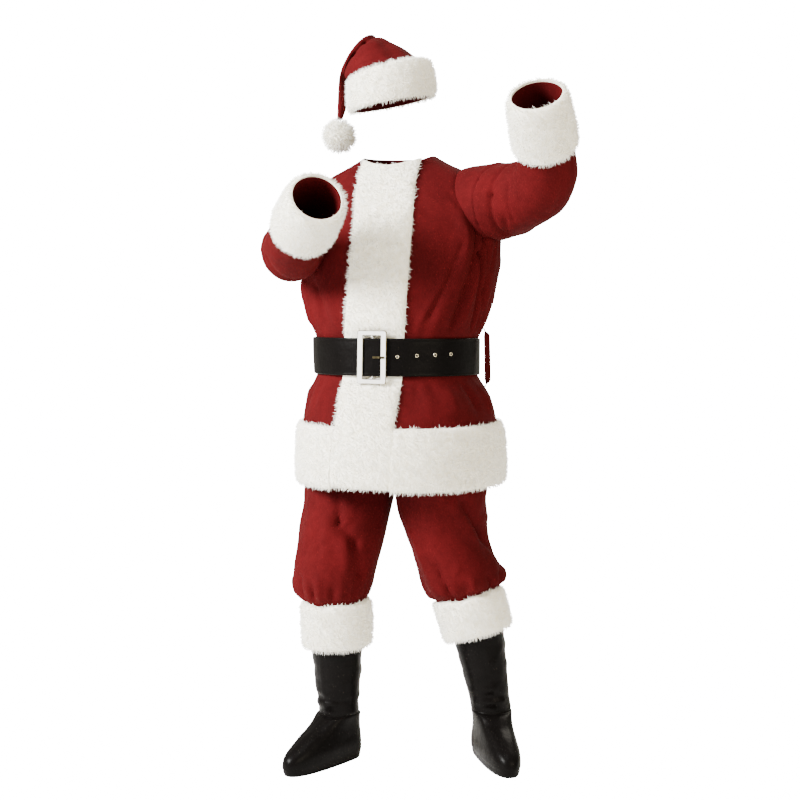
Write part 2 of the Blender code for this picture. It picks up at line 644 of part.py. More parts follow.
# The placket swings a little across the front as it goes down
PLACKET_SWING = [
    (0.680, -0.014),
    (0.822, -0.008),
    (0.983, -0.002),
    (1.100, 0.004),
    (1.300, 0.007),
    (1.470, 0.0),
]


def swing_at(height):
    for (low, a), (high, b) in zip(PLACKET_SWING, PLACKET_SWING[1:]):
        if height <= high:
            share = max(0.0, (height - low) / (high - low))
            return a + (b - a) * share * share * (3 - 2 * share)
    return PLACKET_SWING[-1][1]


def placket_point(u, v):
    """u is metres across the placket from its middle."""
    ring = beyond(COAT_RINGS, v)
    return coat_point(angle_at(swing_at(ring.height) + u, ring), v)


class Placket(Surface):
    def moved(self, u, v, distance):
        along_u = self.point(u + 0.002, v) - self.point(u - 0.002, v)
        along_v = self.point(u, v + 0.02) - self.point(u, v - 0.02)
        return self.point(u, v) + along_u.cross(along_v).normalized() * distance


def make_coat_fur():
    top = len(COAT_RINGS) - 1.0
    across = pile(-PLACKET_HALF_WIDTH, PLACKET_HALF_WIDTH)
    middle = (BELT_BOTTOM + BELT_TOP) / 2

    def placket_outer(u, v):
        height = beyond(COAT_RINGS, v).height
        crushed = math.exp(-((height - middle) / 0.072) ** 10)
        end = min(1.0, (height - COAT_RINGS[0].height) / 0.012 + 0.3)
        full = across(u) * end
        return full * (1 - crushed) + min(full, CRUSHED_FUR) * crushed

    places = [0, 0.2, 1, 2, 2.6, 3, 3.7] + COAT_ROWS[4:-1] + [top - 0.05]
    strips = [PLACKET_HALF_WIDTH * s for s in (-1.0, -0.88, -0.45, 0.0, 0.45, 0.88, 1.0)]
    placket = OnRows(Placket(placket_point), COAT_ROWS)

    def placket_inner(u, v):
        # near the neck the panels below bend sharply, so the fur stands off a little more
        return PLACKET_GAP + 0.003 * min(1.0, max(0.0, (v - 12.5) / 1.5))

    wall("coat_placket_fur", placket, strips, places, placket_inner, placket_outer, WHITE_FUR)

    hem_top = place_at_height(COAT_RINGS, HEM_FUR_TOP)
    fur = pile(-0.12, hem_top, thick=FUR + 0.001)
    seam = 0.06

    def start_at(v, side):
        ring = beyond(COAT_RINGS, v)
        return angle_at(swing_at(ring.height) + side * (PLACKET_HALF_WIDTH + 0.0012), ring)

    def front_hem(side):
        # share 0 is beside the placket and 1 at the side seam
        def point(share, v):
            first = start_at(v, side)
            return coat_point(first + (side * (90 - seam) - first) * share, v)

        return Surface(point, outward=side)

    places = band_places(-0.12, hem_top)
    shares = spaced(0, 1, 12)
    for name, side in (("coat_hem_fur_left", 1), ("coat_hem_fur_right", -1)):
        hem = OnRows(front_hem(side), COAT_ROWS)
        wall(name, hem, shares, places, HEM_GAP, lambda u, v: fur(v), WHITE_FUR)
    back = COAT_PANELS["coat_back"]
    wall(
        "coat_hem_fur_back", OnRows(coat, COAT_ROWS), [back[0] + 0.02] + back[1:-1] + [back[-1] - 0.02],
        places, HEM_GAP, lambda u, v: fur(v), WHITE_FUR,
    )


# Belt

def belt_point(u, v):
    """The strap's inner face: straight between its two edges, which lie on the coat and the placket."""
    angle = math.radians(u)
    drop = 0.010 * max(0.0, -math.cos(angle)) - 0.004 * max(0.0, math.cos(angle))
    turn = (u + 180) % 360 - 180
    over_placket = 0.0052 * math.exp(-(turn / 31) ** 6)
    lap = min(max((LAP_END + 22 - u) / 22, 0.0), 1.0)
    lap = lap * lap * (3 - 2 * lap) * (BELT_THICKNESS + 0.0006)
    edges = []
    for height in (BELT_BOTTOM - drop, BELT_TOP - drop):
        ring = row_at(COAT_RINGS, place_at_height(COAT_RINGS, height))
        edges.append(coat_point_on(ring, u, 0.0024 + over_placket + lap))
    edges[0].z = BELT_BOTTOM - drop - NECK_HEIGHT
    edges[1].z = BELT_TOP - drop - NECK_HEIGHT
    return edges[0].lerp(edges[1], v)


class Strap(Surface):
    def moved(self, u, v, distance):
        # the tail's corners are rounded by drawing its last columns in towards the middle
        near_end = max(0.0, 1 - (u - TAIL_END) / 4.0)
        v = v + (0.5 - v) * 0.22 * near_end ** 2
        along_u = self.point(u + 0.5, v) - self.point(u - 0.5, v)
        along_v = self.point(u, v + 0.05) - self.point(u, v - 0.05)
        return self.point(u, v) + along_u.cross(along_v).normalized() * distance


def box_mesh(mesh, low, high):
    made = bmesh.ops.create_cube(mesh, size=1.0)["verts"]
    for corner in made:
        corner.co = Vector(tuple(a + (b - a) * (c + 0.5) for a, b, c in zip(low, high, corner.co)))
    return made


def round_bar(name, centre, across, length, radius, sides, collection=cutters):
    """A straight bar with flat sides, its length along the across vector."""
    mesh = bmesh.new()
    bmesh.ops.create_cone(
        mesh, cap_ends=True, cap_tris=False, segments=sides, radius1=radius, radius2=radius, depth=length
    )
    turn = Vector((0, 0, 1)).rotation_difference(across).to_matrix().to_4x4()
    bmesh.ops.transform(mesh, matrix=turn, verts=mesh.verts)
    bmesh.ops.translate(mesh, vec=centre, verts=mesh.verts)
    made = finish(mesh, name, None, collection)
    made.hide_render = True
    made.display_type = "WIRE"
    return made


def make_belt():
    strap = Strap(belt_point)
    turns = [TAIL_END, TAIL_END + 1.2, TAIL_END + 3]
    turns += spaced(TAIL_END + 7, 84, 24) + spaced(90, STRAP_START, 36)
    belt = wall("belt_strap", strap, turns, (0.0, 1.0), 0.0, BELT_THICKNESS, BLACK_VINYL)
    for number, (turn, up) in enumerate(EYELETS, 1):
        face = strap.moved(turn, up, BELT_THICKNESS)
        outwards = (strap.moved(turn, up, 0.02) - face).normalized()
        cut(belt, round_bar(f"eyelet_hole_{number}", face, outwards, 0.014, 0.0023, 8))
        rim = face + outwards * 0.0006
        ring_solid(f"eyelet_{number}", rim, outwards, 0.0024, 0.0050, 0.0012, BUCKLE_METAL)
    make_buckle(strap, belt)
    belt_loop("belt_loop_left", 1, 0.0026)
    belt_loop("belt_loop_right", -1, 0.0009)


def ring_solid(name, centre, outwards, hole, radius, thickness, surface_material):
    mesh = bmesh.new()
    sides = 10
    side = outwards.cross(Vector((0, 0, 1))).normalized()
    up = side.cross(outwards)
    section = ((hole, 0), (radius, 0), (radius - 0.0008, thickness), (hole + 0.0006, thickness))
    rings = []
    for k in range(sides):
        angle = 2 * math.pi * k / sides
        spoke = side * math.cos(angle) + up * math.sin(angle)
        rings.append([mesh.verts.new(centre + spoke * reach + outwards * rise) for reach, rise in section])
    for a, b in zip(rings, rings[1:] + rings[:1]):
        for k in range(4):
            mesh.faces.new((a[k], b[k], b[(k + 1) % 4], a[(k + 1) % 4]))
    finish(mesh, name, surface_material)


def make_buckle(strap, belt):
    """A flat frame whose side bars lie over the tail and whose middle bar passes behind it."""
    middle_height = BELT_MIDDLE + 0.004 - NECK_HEIGHT
    low, high = (strap.moved(0, v, BELT_THICKNESS) for v in (0, 1))
    slope = (high.y - low.y) / (high.z - low.z)

    def leaned(x, y, z):
        # the buckle leans back with the belt
        return Vector((x, y + slope * (z - middle_height), z))

    faces = [strap.moved(u, v, BELT_THICKNESS) for u in (-13, -6, 0, 6, 13) for v in (0, 0.5, 1)]
    back = min(face.y - slope * (face.z - middle_height) for face in faces) - 0.0005
    mesh = bmesh.new()
    loops = []
    bevel = 0.0012
    (ow, oh), (iw, ih) = ((a / 2, b / 2) for a, b in (BUCKLE_SIZE, BUCKLE_OPENING))
    front = back - BUCKLE_THICKNESS
    for half_w, half_h, corner, y in (
        (ow, oh, 0.004, back), (ow, oh, 0.004, front + bevel), (ow - bevel, oh - bevel, 0.004, front),
        (iw + bevel, ih + bevel, 0.002, front), (iw, ih, 0.002, front + bevel), (iw, ih, 0.002, back),
    ):
        loop = []
        for sx, sz, first in ((1, 1, 0), (-1, 1, 1), (-1, -1, 2), (1, -1, 3)):
            steps = ((0, -corner), (-corner * 0.3, -corner * 0.3), (-corner, 0))
            for dx, dz in steps if first % 2 == 0 else steps[::-1]:
                place = leaned(BUCKLE_MIDDLE + sx * (half_w + dx), y, middle_height + sz * (half_h + dz))
                loop.append(mesh.verts.new(place))
        loops.append(loop)
    for a, b in zip(loops, loops[1:] + loops[:1]):
        for k in range(len(a)):
            mesh.faces.new((a[k], a[(k + 1) % len(a)], b[(k + 1) % len(b)], b[k]))
    frame = finish(mesh, "buckle_frame", BUCKLE_METAL)
    # the middle bar is set back behind the tail and its ends step forward into the frame
    bar_front = back + BELT_THICKNESS + 0.0010
    bar_back = bar_front + 0.0022
    bar_x = BUCKLE_MIDDLE - 0.001
    inside, outside = ih - 0.0032, ih + 0.0025
    outline = (
        (outside, back - 0.002), (outside, bar_back), (-outside, bar_back), (-outside, back - 0.002),
        (-inside, back - 0.002), (-inside, bar_front), (inside, bar_front), (inside, back - 0.002),
    )
    corners = [[leaned(bar_x + x, y, middle_height + z) for z, y in outline] for x in (-0.0022, 0.0022)]
    bar = slab("buckle_bar", corners, None, cutters)
    bar.hide_render = True
    bar.display_type = "WIRE"
    join = frame.modifiers.new("join_bar", "BOOLEAN")
    join.operation = "UNION"
    join.object = bar
    # the prong comes through the tail beside the bar and rests on the frame's far side
    root = bar_x + 0.0030
    far = BUCKLE_MIDDLE + iw
    tip = BUCKLE_MIDDLE + ow - 0.004
    outline = (
        (root, bar_front + 0.002), (root, back - 0.0026), (far - 0.003, back - 0.0026),
        (far + 0.001, front - 0.0024), (tip, front - 0.0020), (tip, front - 0.0004),
        (far - 0.0006, front - 0.0004), (far - 0.0045, back - 0.0008),
        (root + 0.0030, back - 0.0008), (root + 0.0030, bar_front + 0.002),
    )
    corners = [[leaned(x, y, middle_height + z) for x, y in outline] for z in (-0.0025, 0.0025)]
    slab("buckle_prong", corners, BUCKLE_METAL)
    hole = bmesh.new()
    box_mesh(
        hole,
        (root - 0.0006, back - 0.004, middle_height - 0.0033),
        (root + 0.0036, bar_front + 0.002, middle_height + 0.0033),
    )
    hole_cutter = finish(hole, "prong_hole", None, cutters)
    hole_cutter.hide_render = True
    hole_cutter.display_type = "WIRE"
    cut(belt, hole_cutter)


def slab(name, sides, surface_material, collection=suit):
    """A flat solid between two copies of an outline."""
    mesh = bmesh.new()
    near, far = ([mesh.verts.new(place) for place in side] for side in sides)
    mesh.faces.new(near)
    mesh.faces.new(far[::-1])
    for k in range(len(near)):
        mesh.faces.new((near[k], far[k], far[(k + 1) % len(far)], near[(k + 1) % len(near)]))
    bmesh.ops.recalc_face_normals(mesh, faces=mesh.faces)
    return finish(mesh, name, surface_material, collection)


def belt_loop(name, side, stand_off):
    """A narrow strip sewn to the coat above and below the belt, standing clear and turned to the front."""
    top, bottom = 1.050, 0.908
    thick = 0.0016
    mesh = bmesh.new()
    angle = side * 97
    rows = []
    ends = [coat_point(angle, place_at_height(COAT_RINGS, h)) for h in (top, bottom)]
    for k in range(11):
        t = k / 10
        height = top + (bottom - top) * t
        on_coat = coat_point(angle, place_at_height(COAT_RINGS, height))
        straight = ends[0].lerp(ends[1], t)
        clear = 0.011 * math.sin(math.pi * t) ** 0.7
        low_x = max(on_coat.x * side + stand_off, straight.x * side + stand_off + clear)
        turn = math.radians(LOOP_TURN) * math.sin(math.pi * t)
        half = (0.006 + (LOOP_WIDTH / 2 - 0.006) * math.sin(math.pi * t))
        wide = Vector((side * math.sin(turn), -math.cos(turn), 0)) * half
        thin = Vector((side * math.cos(turn), math.sin(turn), 0)) * thick
        inner = Vector((side * (low_x + half * math.sin(turn)), straight.y, height - NECK_HEIGHT))
        rows.append([mesh.verts.new(inner + across + out) for out, across in (
            (thin * 0, wide), (thin, wide), (thin, -wide), (thin * 0, -wide),
        )])
    for a, b in zip(rows, rows[1:]):
        for k in range(4):
            mesh.faces.new((a[k], b[k], b[(k + 1) % 4], a[(k + 1) % 4]))
    mesh.faces.new(rows[0])
    mesh.faces.new(rows[-1][::-1])
    bmesh.ops.recalc_face_normals(mesh, faces=mesh.faces)
    finish(mesh, name, RED_CLOTH)


# Trousers

def make_trousers():
    seam = 0.1
    around = spaced(seam, 360 - seam, 20)
    cuff_around = spaced(0, 360, 20)[:-1]
    places = [0.06, 1.2, 2, 2.5, 3, 3.5, 4, 5, 6, 7, 8, 9, 10, 11, 12, 13, 14]
    halves = (("left", LEFT_LEG, LEFT_LEG_FOLDS, 1), ("right", RIGHT_LEG, RIGHT_LEG_FOLDS, -1))
    for name, rows, folds, side in halves:
        leg = leg_surface(rows, folds, side)
        last = len(rows) - 1
        wall("trouser_" + name, leg, around, [min(p, last) for p in places], -CLOTH, 0.0, RED_CLOTH)
        fur = pile(0, LEG_CUFF_TOP, thick=0.020)
        wall(
            "trouser_cuff_fur_" + name, OnRows(leg, places), cuff_around, band_places(0, LEG_CUFF_TOP),
            FUR_GAP, lambda u, v, fur=fur: fur(v), WHITE_FUR, closed=True,
        )
    make_waistband()


def make_waistband():
    top = HIP_RINGS[-1]

    def point(u, v):
        angle = math.radians(u)
        depth = top.front if math.cos(angle) > 0 else top.back
        shape = 1 - 0.01 * v
        return Vector((
            top.half_width * shape * math.sin(angle), -depth * shape * math.cos(angle),
            top.height + 0.0004 + 0.035 * v - NECK_HEIGHT,
        ))

    around = spaced(0, 360, 28)[:-1]
    wall("trouser_waistband", Surface(point), around, (0, 1), -0.0035, 0.0, RED_CLOTH, closed=True)


# Hat

def make_hat():
    hat = Surface(hat_point)
    around = spaced(0, 360, 20)[:-1]
    places = [0.05, 1.1, 2.0, 2.5, 3, 4, 5, 6, 7, 8, 9, 10, 11, 12, 13, 14]
    wall("hat_crown", hat, around, places, -CLOTH, 0.0, RED_CLOTH, closed=True)
    fur = pile(0, HAT_BAND_TOP, thick=0.018)
    wall(
        "hat_fur_band", OnRows(hat, places), around, band_places(0, HAT_BAND_TOP), HAT_BAND_GAP,
        lambda u, v: fur(v), WHITE_FUR, closed=True,
    )
    mesh = bmesh.new()
    bmesh.ops.create_icosphere(mesh, subdivisions=2, radius=POMPOM_RADIUS)
    bmesh.ops.poke(mesh, faces=mesh.faces[:], offset=POMPOM_LOCK)
    bmesh.ops.translate(mesh, vec=Vector(POMPOM) - Vector((0, 0, NECK_HEIGHT)), verts=mesh.verts)
    finish(mesh, "hat_pompom", WHITE_FUR)


# Boot tops

def boot_surface(shaft, toe_out):
    """A foot, the ankle's seam and a shaft, as one tube."""
    turn = math.radians(toe_out)
    ahead = Vector((math.sin(turn), -math.cos(turn), 0))
    side = Vector((math.cos(turn), math.sin(turn), 0))
    foot = foot_surface(shaft[0], toe_out)
    ankle = len(FOOT_RINGS) - 1.0

    def shaft_point(u, v):
        row = beyond(shaft, v)
        angle = math.radians(u)
        centre = Vector((row.x, row.y, row.height - NECK_HEIGHT))
        return centre + (ahead * math.cos(angle) + side * math.sin(angle)) * row.radius

    def point(u, v):
        if v <= ankle:
            return foot.point(u, v)
        if v < ankle + 1:
            return foot.point(u, ankle).lerp(shaft_point(u, 0), v - ankle)
        return shaft_point(u, v - ankle - 1)

    return Surface(point)


def make_boots():
    around = spaced(0, 360, 18)[:-1]
    pair = (("left", LEFT_SHAFT, LEFT_TOE_OUT), ("right", RIGHT_SHAFT, RIGHT_TOE_OUT))
    for name, shaft, toe_out in pair:
        rows = list(range(len(FOOT_RINGS) + len(shaft)))
        boot = boot_surface(shaft, toe_out)
        wall("boot_" + name, boot, around, rows, -VINYL, 0.0, BLACK_VINYL, closed=True)


make_coat()
make_coat_fur()
make_belt()
make_trousers()
make_hat()
make_boots()
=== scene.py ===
import math
from itertools import product

import bmesh
import bpy
import numpy as np
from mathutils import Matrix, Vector
from mathutils.bvhtree import BVHTree


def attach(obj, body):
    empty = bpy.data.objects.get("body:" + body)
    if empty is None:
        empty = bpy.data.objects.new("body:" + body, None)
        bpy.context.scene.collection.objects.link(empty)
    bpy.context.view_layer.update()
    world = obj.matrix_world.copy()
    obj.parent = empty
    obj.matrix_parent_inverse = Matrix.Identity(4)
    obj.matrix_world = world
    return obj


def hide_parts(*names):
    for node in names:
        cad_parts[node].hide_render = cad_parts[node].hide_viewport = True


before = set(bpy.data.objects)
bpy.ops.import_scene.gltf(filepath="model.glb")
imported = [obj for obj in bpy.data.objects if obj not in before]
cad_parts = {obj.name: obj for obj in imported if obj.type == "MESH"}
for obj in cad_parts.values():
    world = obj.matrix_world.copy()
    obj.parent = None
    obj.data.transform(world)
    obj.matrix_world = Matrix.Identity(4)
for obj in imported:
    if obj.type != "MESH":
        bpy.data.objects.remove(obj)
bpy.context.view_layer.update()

# A velour suit as it hangs on a standing wearer. Metres; heights in the tables are above the floor,
# the coat's front faces -Y, and an angle round the coat is 0 at the front and 90 on the wearer's left.
neckHeight = 1.468
suit = {
    "clothThick": 0.0025,
    "vinylThick": 0.0018,
    "seamGap": 0.0001,
    "furDepth": 0.017,
    "furBody": 0.70,      # share of the fur's depth that is dense underfur, the rest is loose pile
}


# Shared shape helpers

def curveAt(rows, place):
    # smooth curve through every column of a table
    last = len(rows) - 1
    i = np.clip(np.floor(place).astype(int), 0, last - 1)
    t = (place - i)[..., None]
    a, b, c, d = (rows[np.clip(i + k, 0, last)] for k in (-1, 0, 1, 2))
    return b + 0.5 * t * (c - a + t * (2 * a - 5 * b + 4 * c - d + t * (3 * (b - c) + d - a)))


def rowAt(rows, place):
    # the table's columns at a place, carried straight on past either end
    place = np.asarray(place, float)
    last = len(rows) - 1.0
    held = np.clip(place, 0.0, last)
    ends = curveAt(rows, np.array([0.0, 0.1, last - 0.1, last]))
    slope = np.where((place < 0)[..., None], (ends[1] - ends[0]) / 0.1, (ends[3] - ends[2]) / 0.1)
    return np.moveaxis(curveAt(rows, held) + slope * (place - held)[..., None], -1, 0)


def placesAtHeights(rows, heights):
    dense = np.linspace(0, len(rows) - 1, 2000)
    return np.interp(heights, rowAt(rows, dense)[0], dense)


def smooth(t):
    t = np.clip(t, 0.0, 1.0)
    return t * t * (3 - 2 * t)


def foldDepth(folds, angle, along, radius, unit):
    # folds run from one (angle, along) to another: grooves have a narrow bottom, ridges are round
    total = 0.0
    for angleA, alongA, angleB, alongB, width, depth in folds:
        metres = np.radians(radius)
        turn = (angle - angleA + 180) % 360 - 180
        reach = (angleB - angleA + 180) % 360 - 180
        px, py = turn * metres, (along - alongA) * unit
        dx, dy = reach * metres, (alongB - alongA) * unit
        share = np.clip((px * dx + py * dy) / (dx * dx + dy * dy), 0.0, 1.0)
        distance = np.hypot(px - share * dx, py - share * dy)
        total = total + depth * np.exp(-((distance / width) ** (1.5 if depth < 0 else 2.0)))
    return total


def smallFolds(seed, count, angles, alongs, unit, radius, lean=0.35, size=(0.05, 0.11),
               depth=(0.0008, 0.0022)):
    # short uneven wrinkles scattered over a piece, mostly running along it
    random = np.random.default_rng(seed)
    made = []
    for k in range(count):
        angle, along = random.uniform(*angles), random.uniform(*alongs)
        length, tilt = random.uniform(*size), random.normal(0, lean)
        high = random.uniform(*depth) * (1 if k % 2 else -1)
        swing = math.degrees(length * math.sin(tilt) / radius)
        made.append((angle, along, angle + swing, along + length * math.cos(tilt) / unit,
                     random.uniform(0.007, 0.013), high))
    return made


def pleats(angle, seed, low, high):
    # an uneven wave round a closed ring, between about -1 and 1
    random = np.random.default_rng(seed)
    total = 0.0
    for _ in range(6):
        total = total + random.uniform(0.5, 1.0) * np.cos(
            random.integers(low, high) * np.radians(angle) + random.uniform(0, 2 * math.pi))
    return total / 3.0


def softNoise(points, size, seed):
    # smooth lumps of that size, between -1 and 1
    lattice = np.random.default_rng(seed).uniform(-1, 1, (32, 32, 32))
    place = points / size
    cell = np.floor(place).astype(int)
    t = smooth(place - cell)
    total = 0.0
    for corner in product((0, 1), repeat=3):
        weight = np.prod(np.where(np.array(corner) == 1, t, 1 - t), axis=-1)
        index = (cell + corner) % 32
        total = total + weight * lattice[index[..., 0], index[..., 1], index[..., 2]]
    return total


def outwards(grid, closed, flip=1):
    along = np.gradient(grid, axis=0)
    around = (np.roll(grid, -1, 1) - np.roll(grid, 1, 1)) if closed else np.gradient(grid, axis=1)
    normal = np.cross(around, along) * flip
    return normal / np.clip(np.linalg.norm(normal, axis=-1, keepdims=True), 1e-9, None)


def stripFaces(rows, cols, closed, start=0):
    i, j = np.meshgrid(np.arange(rows - 1), np.arange(cols if closed else cols - 1), indexing="ij")
    k = (j + 1) % cols
    faces = np.stack([i * cols + j, i * cols + k, (i + 1) * cols + k, (i + 1) * cols + j], -1)
    return faces.reshape(-1, 4) + start


def newPiece(name, points, faces, material, smoothShaded=True):
    points = np.asarray(points, float)
    faces = [np.asarray(f) for f in faces]
    volume = 0.0
    for f in faces:
        for a, b in ((1, 2), (2, 3)) if f.shape[1] == 4 else ((1, 2),):
            volume += np.einsum("ij,ij->", points[f[:, 0]], np.cross(points[f[:, a]], points[f[:, b]]))
    if volume < 0:
        faces = [f[:, ::-1] for f in faces]
    data = bpy.data.meshes.new(name)
    data.from_pydata(points.tolist(), [], [row for f in faces for row in f.tolist()])
    if smoothShaded:
        data.shade_smooth()
        data.set_sharp_from_angle(angle=math.radians(55))
    if material:
        data.materials.append(material)
    made = bpy.data.objects.new(name, data)
    bpy.context.scene.collection.objects.link(made)
    return made


def shell(name, outer, inner, closed, material):
    # a closed wall between two grids of points
    rows, cols = outer.shape[:2]
    count = rows * cols
    faces = [stripFaces(rows, cols, closed), stripFaces(rows, cols, closed, count)[:, ::-1]]
    j = np.arange(cols if closed else cols - 1)
    k = (j + 1) % cols
    last = (rows - 1) * cols
    faces.append(np.stack([last + j, last + k, count + last + k, count + last + j], -1))
    faces.append(np.stack([k, j, count + j, count + k], -1))
    if not closed:
        i = np.arange(rows - 1) * cols
        e = i + cols - 1
        faces.append(np.stack([i, i + cols, count + i + cols, count + i], -1))
        faces.append(np.stack([e + cols, e, count + e, count + e + cols], -1))
    return newPiece(name, np.concatenate([outer.reshape(-1, 3), inner.reshape(-1, 3)]), faces, material)


def plug(name, grid):
    # a closed tube with a fan at each end, used for cutting
    rows, cols = grid.shape[:2]
    points = np.concatenate([grid.reshape(-1, 3), grid[0].mean(0)[None], grid[-1].mean(0)[None]])
    j = np.arange(cols)
    k = (j + 1) % cols
    low, high = np.full(cols, rows * cols), np.full(cols, rows * cols + 1)
    last = (rows - 1) * cols
    return newPiece(name, points, [stripFaces(rows, cols, True), np.stack([k, j, low], -1),
                                   np.stack([last + j, last + k, high], -1)], None, False)


def bake(piece):
    # modifiers become plain mesh
    graph = bpy.context.evaluated_depsgraph_get()
    data = bpy.data.meshes.new_from_object(piece.evaluated_get(graph), depsgraph=graph)
    old = piece.data
    piece.modifiers.clear()
    piece.data = data
    data.name = piece.name
    bpy.data.meshes.remove(old)
    return piece


def cutAway(piece, cutters, crossing=False):
    for cutter in cutters:
        trim = piece.modifiers.new("cut", "BOOLEAN")
        trim.operation = "DIFFERENCE"
        trim.solver = "EXACT"
        trim.use_self = crossing
        trim.object = cutter
    return bake(piece)


def drop(things):
    for thing in things:
        bpy.data.objects.remove(thing)


def place(piece, slot, *nodes):
    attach(piece, "root")
    if nodes:
        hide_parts(*nodes)
    return piece


def distanceTo(points, grid):
    # how far points are from a tube's surface
    rows, cols = grid.shape[:2]
    tree = BVHTree.FromPolygons(grid.reshape(-1, 3).tolist(), stripFaces(rows, cols, True).tolist())
    flat = points.reshape(-1, 3)
    far = np.array([tree.find_nearest(Vector(p), 0.06)[3] or 0.06 for p in flat])
    return far.reshape(points.shape[:-1])


# Materials

def nodeMaterial(name):
    made = bpy.data.materials.new(name)
    made.use_nodes = True
    nodes, links = made.node_tree.nodes, made.node_tree.links
    shader = nodes["Principled BSDF"]
    where = nodes.new("ShaderNodeTexCoord")
    return made, nodes, links, shader, where.outputs["Object"]


def noise(nodes, links, where, scale, detail=2.0, rough=0.5):
    made = nodes.new("ShaderNodeTexNoise")
    made.inputs["Scale"].default_value = scale
    made.inputs["Detail"].default_value = detail
    made.inputs["Roughness"].default_value = rough
    links.new(where, made.inputs["Vector"])
    return made.outputs["Fac"]


def ramp(nodes, links, factor, stops):
    made = nodes.new("ShaderNodeValToRGB")
    band = made.color_ramp
    while len(band.elements) < len(stops):
        band.elements.new(0.5)
    for element, (at, colour) in zip(band.elements, stops):
        element.position = at
        element.color = (*colour, 1.0)
    links.new(factor, made.inputs["Fac"])
    return made.outputs["Color"]


def mixed(nodes, links, factor, a, b, how="MIX"):
    made = nodes.new("ShaderNodeMix")
    made.data_type = "RGBA"
    made.blend_type = how
    for socket, value in ((made.inputs[0], factor), (made.inputs[6], a), (made.inputs[7], b)):
        if isinstance(value, bpy.types.NodeSocket):
            links.new(value, socket)
        else:
            socket.default_value = value
    return made.outputs[2]


def bump(nodes, links, height, distance, strength=1.0, under=None):
    made = nodes.new("ShaderNodeBump")
    made.inputs["Distance"].default_value = distance
    made.inputs["Strength"].default_value = strength
    links.new(height, made.inputs["Height"])
    if under:
        links.new(under, made.inputs["Normal"])
    return made.outputs["Normal"]


# deep and lit are a shaded and a lit tone of the red; the nap and patch noise mixes them into painted nap
# sheen and shade, in random patches
velourLook = {
    "deep": (0.034, 0.0019, 0.0024),
    "lit": (0.057, 0.0034, 0.0042),
    "sheen": 0.012,
    "sheenTint": (1.0, 0.14, 0.10, 1.0),
    "pile": 900.0,
    "nap": 70.0,
    "patches": 9.0,
}


def velour():
    look = velourLook
    made, nodes, links, shader, where = nodeMaterial("redVelour")
    nap = noise(nodes, links, where, look["nap"], 3.0, 0.6)
    patch = noise(nodes, links, where, look["patches"], 2.0)
    both = mixed(nodes, links, 0.6, nap, patch)
    # painted nap sheen and shade: the red mixed at random between its shaded and lit tones
    colour = ramp(nodes, links, both, [(0.30, look["deep"]), (0.72, look["lit"])])
    links.new(colour, shader.inputs["Base Color"])
    pile = noise(nodes, links, where, look["pile"], 1.0)
    under = bump(nodes, links, nap, 0.0010, 0.18)
    links.new(bump(nodes, links, pile, 0.0006, 0.5, under), shader.inputs["Normal"])
    rough = nodes.new("ShaderNodeMapRange")
    rough.inputs["To Min"].default_value = 0.72
    rough.inputs["To Max"].default_value = 0.95
    links.new(patch, rough.inputs["Value"])
    links.new(rough.outputs["Result"], shader.inputs["Roughness"])
    shader.inputs["Sheen Weight"].default_value = look["sheen"]
    shader.inputs["Sheen Roughness"].default_value = 0.42
    shader.inputs["Sheen Tint"].default_value = look["sheenTint"]
    shader.inputs["Specular IOR Level"].default_value = 0.03
    return made


# root is a painted shade colour for the depth of the pile, darker and warmer than the tips; body is the
# underfur's colour
furLook = {
    "root": (0.82, 0.77, 0.62),
    "tip": (0.99, 0.985, 0.94),
    "body": (0.96, 0.935, 0.84),
    "sheen": 0.25,
}


def whiteFur(name, strands):
    look = furLook
    made, nodes, links, shader, where = nodeMaterial(name)
    lock = noise(nodes, links, where, 85.0, 2.0)
    if strands:
        tip = nodes.new("ShaderNodeAttribute")
        tip.attribute_name = "tip"
        height = mixed(nodes, links, 0.22, tip.outputs["Fac"], lock)
        # painted shade along each strand, darkest at the root
        stops = [(0.05, look["root"]), (0.62, look["tip"])]
    else:
        height = lock
        # the underfur is mottled at random between the painted root shade and the body colour
        stops = [(0.30, look["root"]), (0.72, look["body"])]
    links.new(ramp(nodes, links, height, stops), shader.inputs["Base Color"])
    if not strands:
        tufts = noise(nodes, links, where, 420.0, 2.0)
        links.new(bump(nodes, links, tufts, 0.002, 0.6), shader.inputs["Normal"])
    shader.inputs["Roughness"].default_value = 0.85
    shader.inputs["Sheen Weight"].default_value = look["sheen"]
    shader.inputs["Sheen Roughness"].default_value = 0.5
    shader.inputs["Specular IOR Level"].default_value = 0.3
    return made


vinylLook = {
    "colour": (0.0024, 0.0020, 0.0019),
    "roughness": (0.26, 0.38),
    "grain": 650.0,
    "coat": 0.01,
}


def vinyl(name):
    look = vinylLook
    made, nodes, links, shader, where = nodeMaterial(name)
    shader.inputs["Base Color"].default_value = (*look["colour"], 1.0)
    wear = noise(nodes, links, where, 24.0, 3.0)
    rough = nodes.new("ShaderNodeMapRange")
    rough.inputs["To Min"].default_value = look["roughness"][0]
    rough.inputs["To Max"].default_value = look["roughness"][1]
    links.new(wear, rough.inputs["Value"])
    links.new(rough.outputs["Result"], shader.inputs["Roughness"])
    crumple = noise(nodes, links, where, 38.0, 2.0)
    under = bump(nodes, links, crumple, 0.004, 0.35)
    links.new(bump(nodes, links, noise(nodes, links, where, look["grain"], 1.0), 0.0004, 0.4, under),
              shader.inputs["Normal"])
    shader.inputs["Specular IOR Level"].default_value = 0.03
    shader.inputs["Coat Weight"].default_value = look["coat"]
    shader.inputs["Coat Roughness"].default_value = 0.22
    return made


# face is a painted highlight for the buckle's front faces, kept only partly metallic so that it stays bright;
# edge is a dark olive painted reflection for its edges and prong
metalLook = {
    "face": ((0.93, 0.92, 0.88), (0.99, 0.98, 0.96)),
    "edge": ((0.075, 0.062, 0.030), (0.20, 0.17, 0.10)),
    "eyelet": ((0.40, 0.35, 0.24), (0.62, 0.57, 0.43)),
    "metallic": {"face": 0.35, "edge": 1.0, "eyelet": 1.0},
}


